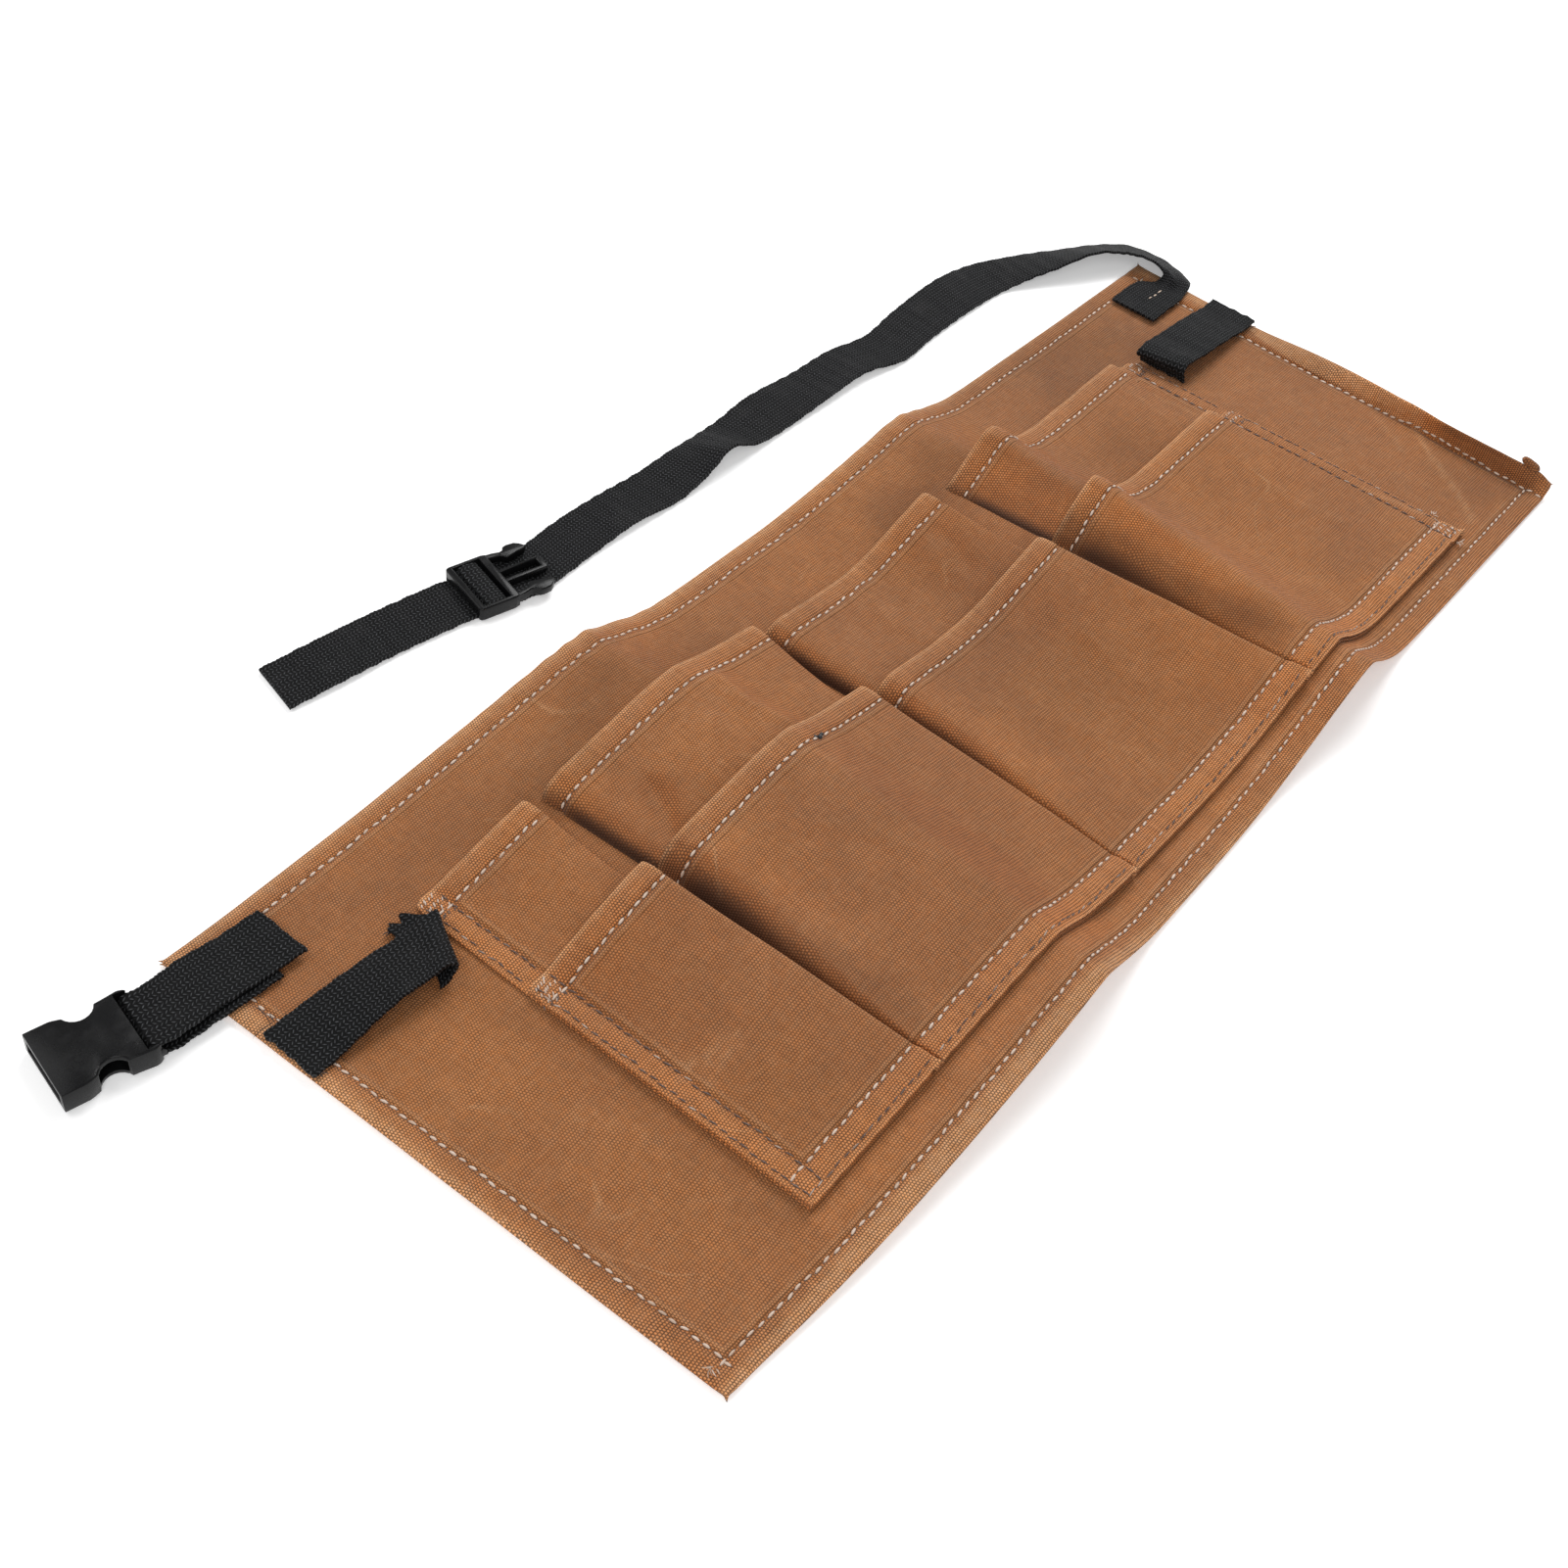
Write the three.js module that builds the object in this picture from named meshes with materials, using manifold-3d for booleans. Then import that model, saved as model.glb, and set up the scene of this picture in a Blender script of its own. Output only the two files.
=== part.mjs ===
// Canvas tool belt laid out flat on its back: a waxed canvas panel with two rows of
// four sewn pockets, two webbing tool loops, and a webbing waist strap that closes
// with a side-release buckle. Millimetres, +X along the belt towards the end with the
// long strap, +Y towards the waist edge, +Z up from the surface that it lies on.
import * as THREE from 'three';
import { mergeVertices } from 'three/addons/utils/BufferGeometryUtils.js';
import Module from 'manifold-3d';

const wasm = await Module();
wasm.setup();

// Backing panel
const PANEL_WAIST_WIDTH = 620;
const PANEL_LOWER_WIDTH = 603;
const PANEL_HEIGHT = 242;
const CANVAS = 1.4;
const HEM_WIDTH = 10;
const HEM_FOLD = 0.8;
const HEM_STEP = 1.2;

// Pockets
const COLUMN_WIDTHS = [68.5, 127.5, 125, 153];
const WAIST_MARGIN = 44;
const LOWER_MARGIN = 19;
const FRONT_DEPTH = 125;
const SEAM_LEAN = 10;
const MOUTH_GAPE = 14;
const SEWN_BAND = 12;
const MOUTH_HEM = 11;
const POCKET_STEP = 14;

// Webbing
const WEBBING_WIDTH = 25;
const WEBBING = 1.5;
const LOOP_DROP = 60;
const PATCH_DROP = 22;
const STRAP_STEP = 5;
const LOOP_STEP = 3.5;

// Side-release buckle
const SOCKET_LENGTH = 34.2;
const SOCKET_WIDTH = 28.8;
const SOCKET_THICKNESS = 9.6;
const SOCKET_WALL = 2.1;
const SOCKET_BAR = 1.6;
const FRAME_LENGTH = 17.5;
const FRAME_THICKNESS = 6.4;
const RAIL_WIDTH = 1.6;
const BAR_WIDTH = 2.5;
const PRONG_LENGTH = 18.6;
const BUCKLE_EDGE = 0.7;

// Fits
const GAP = 0.4;
const SIDE_PLAY = 0.3;

const CANVAS_TAN = new THREE.MeshStandardMaterial({ color: 0xa87046, roughness: 0.82, metalness: 0 });
const WEBBING_BLACK = new THREE.MeshStandardMaterial({ color: 0x1b1b1d, roughness: 0.88, metalness: 0 });
const BUCKLE_BLACK = new THREE.MeshStandardMaterial({ color: 0x1e1f21, roughness: 0.5, metalness: 0 });

const THIRD = PANEL_WAIST_WIDTH / 3;
const BLOCK_WIDTH = COLUMN_WIDTHS.reduce((sum, width) => sum + width, 0);
const WAIST_Y = PANEL_HEIGHT / 2;
const LOWER_Y = -PANEL_HEIGHT / 2;
const BACK_MOUTH_Y = WAIST_Y - WAIST_MARGIN;
const SEAT_Y = LOWER_Y + LOWER_MARGIN;
const FRONT_MOUTH_Y = SEAT_Y + FRONT_DEPTH;

// The belt was stored folded in thirds. Each fold line still stands up as a soft ridge:
// crest heights at the waist edge and the lower edge, and the run of each flank as a
// share of a third of the panel.
const FOLDS = [
  { line: -0.5, waistCrest: 15, lowerCrest: 18, leftRun: 0.88, rightRun: 0.24 },
  { line: 0.5, waistCrest: 11, lowerCrest: 22, leftRun: 0.43, rightRun: 0.23 },
];
const FLANK_STATIONS = [0, 0.07, 0.16, 0.28, 0.42, 0.58, 0.78, 1];
const FLANK_CURVE = 1.5;
const CREST_ROUND = 0.09;

// Sway of the two long edges: share of the half width, and offset outwards in hem widths.
const LOWER_SWAY = [
  { along: -1, out: 0.1 }, { along: -0.75, out: 0.5 }, { along: -0.5, out: 0.5 },
  { along: -0.15, out: 0.1 }, { along: 0.34, out: -0.3 }, { along: 1, out: -0.35 },
];
const WAIST_SWAY = [
  { along: -1, out: 0.1 }, { along: 0, out: 0.15 }, { along: 1, out: -0.15 },
];

// How far each pocket's cloth stands off the panel along its mouth: share of the way
// across the pocket, and height as a share of the mouth gape.
const POCKETS = [
  { name: 'back_pocket_1', row: 'back', column: 0, tuck: 5, mouth: [
    { across: 0, stand: 0.12 }, { across: 1, stand: 0.6 }] },
  { name: 'back_pocket_2', row: 'back', column: 1, tuck: 4, mouth: [
    { across: 0, stand: 0.5 }, { across: 0.55, stand: 0.86 }, { across: 1, stand: 1.2 }] },
  { name: 'back_pocket_3', row: 'back', column: 2, tuck: 14, mouth: [
    { across: 0, stand: 0.65 }, { across: 0.5, stand: 0.28 }, { across: 1, stand: 0.92 }] },
  { name: 'back_pocket_4', row: 'back', column: 3, tuck: 22, mouth: [
    { across: 0, stand: 0.16 }, { across: 0.23, stand: 1.2 }, { across: 0.38, stand: 0.42 },
    { across: 1, stand: 0.66 }] },
  { name: 'front_pocket_1', row: 'front', column: 0, tuck: 4.5, mouth: [
    { across: 0, stand: 0.32 }, { across: 1, stand: 1.14 }] },
  { name: 'front_pocket_2', row: 'front', column: 1, tuck: 5.5, mouth: [
    { across: 0, stand: 0.9 }, { across: 0.55, stand: 1.2 }, { across: 1, stand: 1.5 }] },
  { name: 'front_pocket_3', row: 'front', column: 2, tuck: 10, mouth: [
    { across: 0, stand: 1 }, { across: 0.5, stand: 0.66 }, { across: 1, stand: 1.12 }] },
  { name: 'front_pocket_4', row: 'front', column: 3, tuck: 24, mouth: [
    { across: 0, stand: 0.36 }, { across: 0.21, stand: 1.4 }, { across: 0.38, stand: 0.7 },
    { across: 1, stand: 0.98 }] },
];

// Right-hand side hem, curled up towards the lower corner: share of the panel height
// from the lower edge, and the angle that the hem stands at.
const CURL_WIDTH = 13;
const CURL = [
  { up: 0, angle: 46 }, { up: 0.06, angle: 74 }, { up: 0.3, angle: 84 }, { up: 0.44, angle: 62 },
  { up: 0.56, angle: 24 }, { up: 0.68, angle: 0 }, { up: 1, angle: 0 },
];

// Steps across the curling hem: their shares of the curl's width and of its angle.
const CURL_STEPS = [
  { share: 0.14, bend: 0.3 }, { share: 0.09, bend: 0.6 }, { share: 0.36, bend: 0.92 }, { share: 0.41, bend: 1.05 },
];

// Small helpers

function ease(t) {
  return t * t * (3 - 2 * t);
}

// Reads a table of rows {key, value} at a place along it, eased between the rows.
function readTable(rows, key, value, at) {
  let k = 1;
  while (k < rows.length - 1 && rows[k][key] < at) k += 1;
  const from = rows[k - 1];
  const to = rows[k];
  const share = THREE.MathUtils.clamp((at - from[key]) / (to[key] - from[key]), 0, 1);
  return THREE.MathUtils.lerp(from[value], to[value], ease(share));
}

// Closed solid between an outer and an inner grid of points with the same rows and columns.
function shellGeometry(outer, inner) {
  const rows = outer.length;
  const columns = outer[0].length;
  const positions = [...outer.flat(), ...inner.flat()].flatMap((p) => [p.x, p.y, p.z]);
  const index = [];
  const at = (layer, r, c) => layer * rows * columns + r * columns + c;
  const quad = (a, b, c, d) => index.push(a, b, c, a, c, d);
  for (let r = 0; r < rows - 1; r += 1) {
    for (let c = 0; c < columns - 1; c += 1) {
      quad(at(0, r, c), at(0, r, c + 1), at(0, r + 1, c + 1), at(0, r + 1, c));
      quad(at(1, r, c), at(1, r + 1, c), at(1, r + 1, c + 1), at(1, r, c + 1));
    }
  }
  for (let c = 0; c < columns - 1; c += 1) {
    quad(at(0, 0, c), at(1, 0, c), at(1, 0, c + 1), at(0, 0, c + 1));
    quad(at(0, rows - 1, c), at(0, rows - 1, c + 1), at(1, rows - 1, c + 1), at(1, rows - 1, c));
  }
  for (let r = 0; r < rows - 1; r += 1) {
    quad(at(0, r, 0), at(0, r + 1, 0), at(1, r + 1, 0), at(1, r, 0));
    quad(at(0, r, columns - 1), at(1, r, columns - 1), at(1, r + 1, columns - 1), at(0, r + 1, columns - 1));
  }
  const geometry = new THREE.BufferGeometry();
  geometry.setAttribute('position', new THREE.Float32BufferAttribute(positions, 3));
  geometry.setIndex(index);
  return facingOut(geometry);
}

// Signed volume of a closed mesh, and the same mesh with its faces turned outwards.
function signedVolume(geometry) {
  const p = geometry.attributes.position;
  const index = geometry.index.array;
  const corner = [new THREE.Vector3(), new THREE.Vector3(), new THREE.Vector3()];
  let volume = 0;
  for (let i = 0; i < index.length; i += 3) {
    corner.forEach((v, k) => v.fromBufferAttribute(p, index[i + k]));
    volume += corner[0].dot(corner[1].clone().cross(corner[2])) / 6;
  }
  return volume;
}

function facingOut(geometry) {
  if (signedVolume(geometry) < 0) {
    const index = geometry.index.array;
    for (let i = 0; i < index.length; i += 3) {
      [index[i + 1], index[i + 2]] = [index[i + 2], index[i + 1]];
    }
  }
  return geometry;
}

function named(name, geometry, material) {
  const mesh = new THREE.Mesh(geometry, material);
  mesh.name = name;
  return mesh;
}

// Backing panel: height of its underside and its top face

function foldHeight(x, y) {
  const up = (y - LOWER_Y) / PANEL_HEIGHT;
  return FOLDS.reduce((sum, fold) => {
    const away = x - fold.line * THIRD;
    const run = (away < 0 ? fold.leftRun : fold.rightRun) * THIRD;
    const share = Math.min(Math.abs(away) / run, 1);
    const rounded = (Math.hypot(share, CREST_ROUND) - CREST_ROUND) / (Math.hypot(1, CREST_ROUND) - CREST_ROUND);
    const crest = THREE.MathUtils.lerp(fold.lowerCrest, fold.waistCrest, up);
    return sum + crest * (1 - rounded) ** FLANK_CURVE;
  }, 0);
}

// Columns of the panel: the crest and flanks of each ridge, shared by the pockets so
// that their faces lie parallel to the panel's.
const PANEL_STATIONS = FOLDS.flatMap((fold) => FLANK_STATIONS.flatMap((share) => [
  (fold.line - share * fold.leftRun) * THIRD,
  (fold.line + share * fold.rightRun) * THIRD,
])).concat([-0.04 * THIRD, 0.98 * THIRD, 1.22 * THIRD]);
const STATIONS_X = [...new Set(PANEL_STATIONS)].sort((a, b) => a - b);

function panelTop(x, y) {
  let k = 1;
  while (k < STATIONS_X.length - 1 && STATIONS_X[k] < x) k += 1;
  const [from, to] = [STATIONS_X[k - 1], STATIONS_X[k]];
  const share = THREE.MathUtils.clamp((x - from) / (to - from), 0, 1);
  return CANVAS + THREE.MathUtils.lerp(foldHeight(from, y), foldHeight(to, y), share);
}

function halfWidth(y) {
  return THREE.MathUtils.lerp(PANEL_LOWER_WIDTH, PANEL_WAIST_WIDTH, (y - LOWER_Y) / PANEL_HEIGHT) / 2;
}

function backingPanel() {
  const hemLine = [0, HEM_WIDTH, HEM_WIDTH + HEM_STEP];
  const inside = [0.13, 0.26, 0.38, 0.49, 0.59, 0.68, 0.84].map((up) => LOWER_Y + up * PANEL_HEIGHT);
  const rowsY = [...hemLine.map((d) => LOWER_Y + d), ...inside, ...hemLine.map((d) => WAIST_Y - d).reverse()];
  const outer = [];
  const inner = [];
  rowsY.forEach((y, r) => {
    const half = halfWidth(y);
    const up = (y - LOWER_Y) / PANEL_HEIGHT;
    const angle = THREE.MathUtils.degToRad(readTable(CURL, 'up', 'angle', up));
    const left = hemLine.map((d) => ({ x: -half + d, rise: 0, bend: 0 }));
    const middle = STATIONS_X.map((x) => ({ x, rise: 0, bend: 0 }));
    const right = [{ x: half - CURL_WIDTH, rise: 0, bend: 0 }];
    CURL_STEPS.forEach(({ share, bend }) => {
      const from = right[right.length - 1];
      const reach = share * CURL_WIDTH;
      right.push({
        x: from.x + reach * Math.cos(bend * angle), rise: from.rise + reach * Math.sin(bend * angle), bend,
      });
    });
    const top = [];
    const under = [];
    [...left, ...middle, ...right].forEach(({ x, rise, bend }, c, all) => {
      const along = x / half;
      const sway = HEM_WIDTH * (y < 0
        ? -readTable(LOWER_SWAY, 'along', 'out', along) * Math.max(0, 1 - 2.5 * up)
        : readTable(WAIST_SWAY, 'along', 'out', along) * Math.max(0, 2.5 * up - 1.5));
      const hemmed = r < 2 || r > rowsY.length - 3 || c < 2 || c > all.length - 4;
      const thick = CANVAS + (hemmed ? HEM_FOLD : 0);
      const z = foldHeight(x, y) + rise;
      const tilt = bend * angle;
      under.push(new THREE.Vector3(x, y + sway, z));
      top.push(new THREE.Vector3(x - thick * Math.sin(tilt), y + sway, z + thick * Math.cos(tilt)));
    });
    outer.push(top);
    inner.push(under);
  });
  return named('backing_panel', shellGeometry(outer, inner), CANVAS_TAN);
}

// Pockets

const SEAMS = COLUMN_WIDTHS.map((_, k) => COLUMN_WIDTHS.slice(0, k + 1).reduce((a, b) => a + b, -BLOCK_WIDTH / 2));

// The seams between columns lean slightly towards the left at the waist.
function seamX(k, y) {
  if (k < 0) return -BLOCK_WIDTH / 2;
  if (k === COLUMN_WIDTHS.length - 1) return BLOCK_WIDTH / 2;
  return SEAMS[k] - SEAM_LEAN * (y - SEAT_Y) / PANEL_HEIGHT;
}

// How far a pocket gapes at a height, from 0 in its bottom seam band to 1 at its mouth.
function openness(y, front) {
  const share = (y - SEAT_Y - SEWN_BAND) / ((front ? FRONT_MOUTH_Y : BACK_MOUTH_Y) - SEAT_Y - SEWN_BAND);
  return THREE.MathUtils.clamp(share, 0, 1) ** (front ? 0.9 : 1.15);
}

// How far the side fold of a pocket turns back beneath itself to its seam.
function foldReturn(open, front) {
  return front ? 0.8 * (1 + open) : 2.4 + 2.6 * open;
}

// Section of one pocket at a share of its depth, as outer and inner points {x, rise}
// with the rise measured from the panel's top face.
function pocketSection(pocket, depth, hemmed) {
  const front = pocket.row === 'front';
  const mouthY = front ? FRONT_MOUTH_Y : BACK_MOUTH_Y;
  const y = THREE.MathUtils.lerp(SEAT_Y, mouthY, depth);
  const open = openness(y, front);
  const flat = front ? 2 * (GAP + CANVAS) + GAP / 3 : GAP + CANVAS;
  const pleat = flat + 1.9;
  const proud = hemmed ? HEM_FOLD : 0;
  const first = pocket.column === 0;
  const last = pocket.column === COLUMN_WIDTHS.length - 1;
  const bandBase = front ? 2 * GAP + CANVAS : GAP;

  const leftFoot = seamX(pocket.column - 1, y) + (first ? 0 : (front ? SIDE_PLAY : SIDE_PLAY + 2.6));
  const covered = THREE.MathUtils.clamp((FRONT_MOUTH_Y - y) / (FRONT_MOUTH_Y - SEAT_Y), 0, 1);
  const shown = THREE.MathUtils.clamp((y - FRONT_MOUTH_Y) / (BACK_MOUTH_Y - FRONT_MOUTH_Y), 0, 1);
  const frontPocket = POCKETS.find((other) => other.row === 'front' && other.column === pocket.column);
  const frontEdge = last ? SEWN_BAND + SIDE_PLAY : SIDE_PLAY;
  const frontTuck = THREE.MathUtils.lerp(frontPocket.tuck, frontEdge, covered);
  const frontOpen = openness(y, true);
  const nested = frontTuck + 2 * CANVAS + (last ? 3 * frontOpen : foldReturn(frontOpen, true));
  const tuck = front ? frontTuck : THREE.MathUtils.lerp(nested, pocket.tuck, ease(shown));
  const tip = seamX(pocket.column, y) - tuck;
  const overhang = last ? 3 * open : foldReturn(open, front);

  const standAt = (x) => {
    const across = THREE.MathUtils.clamp((x - leftFoot) / (tip - leftFoot), 0, 1);
    const settled = THREE.MathUtils.lerp(flat, pleat, Math.max(0, 6 * across - 5));
    const mouth = Math.max(settled, MOUTH_GAPE * readTable(pocket.mouth, 'across', 'stand', across));
    return THREE.MathUtils.lerp(settled, mouth, open);
  };

  const outer = [];
  const inner = [];
  const add = (x, rise, insideX, insideRise) => {
    outer.push({ x, rise });
    inner.push({ x: insideX, rise: insideRise });
  };
  const startX = first ? leftFoot + SEWN_BAND : leftFoot + 2.2 + 2.5 * open;
  if (first) {
    const top = bandBase + CANVAS + proud;
    add(leftFoot, top, leftFoot, bandBase);
    add(leftFoot + SEWN_BAND / 2, top, leftFoot + SEWN_BAND / 2, bandBase);
    add(startX, top, startX, bandBase);
  } else {
    const rise = standAt(startX) + proud;
    const inside = rise - CANVAS - proud - GAP;
    add(leftFoot, GAP, leftFoot + CANVAS, GAP);
    add(leftFoot + 0.15, GAP + 0.55 * (rise - GAP), leftFoot + CANVAS + 0.2, GAP + 0.55 * inside);
    add(leftFoot + 0.7, GAP + 0.88 * (rise - GAP), leftFoot + CANVAS + 0.5, GAP + 0.88 * inside);
    add(startX, rise, startX + 0.5 * CANVAS, GAP + inside);
  }
  const lowX = seamX(pocket.column - 1, BACK_MOUTH_Y);
  const highX = seamX(pocket.column, BACK_MOUTH_Y);
  const span = highX - lowX;
  const own = Math.round(span / POCKET_STEP);
  const evenly = Array.from({ length: own }, (_, k) => lowX + span * (k + 0.5) / own);
  const from = lowX + SEAM_LEAN + 4.5;
  const to = highX - frontPocket.tuck - 4.2 * CANVAS - 8 - (last ? 2 : 0);
  const places = [...STATIONS_X, ...evenly].filter((x) => x > from && x < to).sort((a, b) => a - b)
    .filter((x, k, all) => STATIONS_X.includes(x)
      || !all.some((other) => STATIONS_X.includes(other) && Math.abs(other - x) < POCKET_STEP / 2.5));
  places.forEach((x) => {
    const rise = standAt(x);
    add(x, rise + proud, x, rise - CANVAS);
  });
  const rise = standAt(tip - 1.6);
  add(tip - 1.6, rise + proud, tip - 3.2, rise - CANVAS);
  add(tip - 0.4, rise + proud - 0.35, tip - 2.5, rise - CANVAS - 0.1);
  add(tip, rise + proud - 1.1, tip - 2.2, rise - CANVAS - 0.4);
  if (last) {
    const foot = tip - overhang;
    const low = bandBase + CANVAS;
    add(foot + 0.3, low + 0.35 + proud, foot - CANVAS, bandBase + 0.7);
    add(foot + 1.3, low + proud, foot - 0.8, bandBase);
    add(seamX(pocket.column, y), low + proud, seamX(pocket.column, y), bandBase);
  } else {
    const foot = tip - overhang;
    add((tip + foot) / 2, (rise - 1.1 + GAP) / 2, (tip - 2.2 + foot - 1.3 * CANVAS) / 2, (rise - CANVAS - 0.4 + GAP) / 2);
    add(foot, GAP, foot - 1.3 * CANVAS, GAP);
  }
  const raise = ({ x, rise: height }) => new THREE.Vector3(x, y, panelTop(x, y) + height);
  return { outer: outer.map(raise), inner: inner.map(raise) };
}

function pocketMesh(pocket) {
  const mouthY = pocket.row === 'front' ? FRONT_MOUTH_Y : BACK_MOUTH_Y;
  const depth = mouthY - SEAT_Y;
  const band = MOUTH_HEM / depth;
  const step = HEM_STEP / depth;
  const seatHem = pocket.row === 'front';
  const sections = [
    { depth: 0, hemmed: seatHem }, { depth: band, hemmed: seatHem }, { depth: band + step, hemmed: false },
    { depth: 0.24, hemmed: false }, { depth: 0.42, hemmed: false }, { depth: 0.6, hemmed: false },
    { depth: 0.76, hemmed: false }, { depth: 1 - band - step, hemmed: false },
    { depth: 1 - band, hemmed: true }, { depth: 1, hemmed: true },
  ].map(({ depth: share, hemmed }) => pocketSection(pocket, share, hemmed));
  const geometry = shellGeometry(sections.map((s) => s.outer), sections.map((s) => s.inner));
  return named(pocket.name, geometry, CANVAS_TAN);
}

// Webbing

// Ribbon of webbing through stations {centre, across}, with its own thickness.
function ribbonGeometry(stations) {
  const outer = [];
  const inner = [];
  stations.forEach(({ centre, across }, k) => {
    const before = stations[Math.max(0, k - 1)].centre;
    const after = stations[Math.min(stations.length - 1, k + 1)].centre;
    const along = after.clone().sub(before).normalize();
    const normal = along.clone().cross(across).normalize();
    const side = across.clone().multiplyScalar(WEBBING_WIDTH / 2);
    const lift = normal.multiplyScalar(WEBBING / 2);
    const edges = [centre.clone().sub(side), centre.clone().add(side)];
    outer.push(edges.map((p) => p.clone().add(lift)));
    inner.push(edges.map((p) => p.clone().sub(lift)));
  });
  return shellGeometry(outer, inner);
}

// Smooth stations through a route of rows {x, y, z, turn, tilt}: turn is the plan angle
// of the width direction in degrees, and tilt its angle above the surface.
function smoothStations(route, step) {
  const centres = new THREE.CatmullRomCurve3(route.map((row) => new THREE.Vector3(row.x, row.y, row.z)), false, 'centripetal');
  const angles = new THREE.CatmullRomCurve3(route.map((row) => new THREE.Vector3(row.turn, row.tilt, row.width ?? 1)), false, 'catmullrom', 0.5);
  const spans = route.length - 1;
  const stations = [];
  for (let k = 0; k < spans; k += 1) {
    const length = new THREE.Vector3(route[k].x, route[k].y, route[k].z)
      .distanceTo(new THREE.Vector3(route[k + 1].x, route[k + 1].y, route[k + 1].z));
    const pieces = Math.max(1, Math.round(length / step));
    for (let j = 0; j < pieces + (k === spans - 1 ? 1 : 0); j += 1) {
      const t = (k + j / pieces) / spans;
      const angle = angles.getPoint(t);
      const turn = THREE.MathUtils.degToRad(angle.x);
      const tilt = THREE.MathUtils.degToRad(angle.y);
      stations.push({
        centre: centres.getPoint(t),
        across: new THREE.Vector3(Math.cos(tilt) * Math.cos(turn), Math.cos(tilt) * Math.sin(turn), Math.sin(tilt))
          .multiplyScalar(Math.min(angle.z, 1)),
      });
    }
  }
  return stations;
}

const PATCH_Y = WAIST_Y - PATCH_DROP;
const LOOP_Y = WAIST_Y - LOOP_DROP;
const HALF_WAIST = PANEL_WAIST_WIDTH / 2;

// Profile of a tool loop from the panel's side edge to the pockets: share of the span,
// height of the webbing's middle above the panel and drift towards the waist in webbing
// widths, the plan angle of the width direction and how far that edge is raised, in
// degrees.
const LEFT_LOOP = [
  { span: 0, lift: 0.055, drift: 0, turn: 90, tilt: 0 },
  { span: 0.16, lift: 0.06, drift: 0, turn: 89, tilt: 0 },
  { span: 0.36, lift: 0.17, drift: -0.02, turn: 84, tilt: -7 },
  { span: 0.62, lift: 0.27, drift: -0.09, turn: 74, tilt: -11 },
  { span: 0.8, lift: 0.3, drift: -0.17, turn: 66, tilt: -9 },
  { span: 0.92, lift: 0.36, drift: -0.22, turn: 62, tilt: -4 },
  { span: 0.965, lift: 0.3, drift: -0.24, turn: 62, tilt: 0 },
  { span: 0.95, lift: 0.18, drift: -0.24, turn: 62, tilt: 0 },
  { span: 0.9, lift: 0.09, drift: -0.24, turn: 62, tilt: 0 },
  { span: 0.85, lift: 0.06, drift: -0.23, turn: 62, tilt: 0 },
];
const RIGHT_LOOP = [
  { span: 0, lift: 0.12, drift: 0, turn: 90, tilt: 0 },
  { span: 0.13, lift: 0.1, drift: 0, turn: 90, tilt: 0 },
  { span: 0.34, lift: 0.22, drift: 0, turn: 90, tilt: 0 },
  { span: 0.58, lift: 0.3, drift: 0, turn: 92, tilt: 0 },
  { span: 0.78, lift: 0.33, drift: 0.01, turn: 95, tilt: 0 },
  { span: 0.94, lift: 0.4, drift: 0.01, turn: 99, tilt: 0 },
  { span: 1.03, lift: 0.37, drift: 0.01, turn: 102, tilt: 0 },
  { span: 1.045, lift: 0.28, drift: 0.01, turn: 98, tilt: 0 },
  { span: 1.015, lift: 0.17, drift: 0, turn: 91, tilt: 0 },
  { span: 1, lift: 0.06, drift: -0.02, turn: 90, tilt: 0 },
];

function toolLoop(name, side, profile) {
  const outerX = halfWidth(LOOP_Y) - 1;
  const innerX = BLOCK_WIDTH / 2 + GAP + WEBBING;
  const hemSpan = (HEM_WIDTH + 2 * HEM_STEP) / (outerX - innerX);
  const route = profile.map(({ span, lift, drift, turn, tilt }) => {
    const x = side * THREE.MathUtils.lerp(outerX, innerX, span);
    const seat = panelTop(x, LOOP_Y) + (span < hemSpan ? HEM_FOLD : 0);
    return { x, y: LOOP_Y + drift * WEBBING_WIDTH, z: seat + lift * WEBBING_WIDTH, turn, tilt };
  });
  return named(name, ribbonGeometry(smoothStations(route, LOOP_STEP)), WEBBING_BLACK);
}

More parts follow.
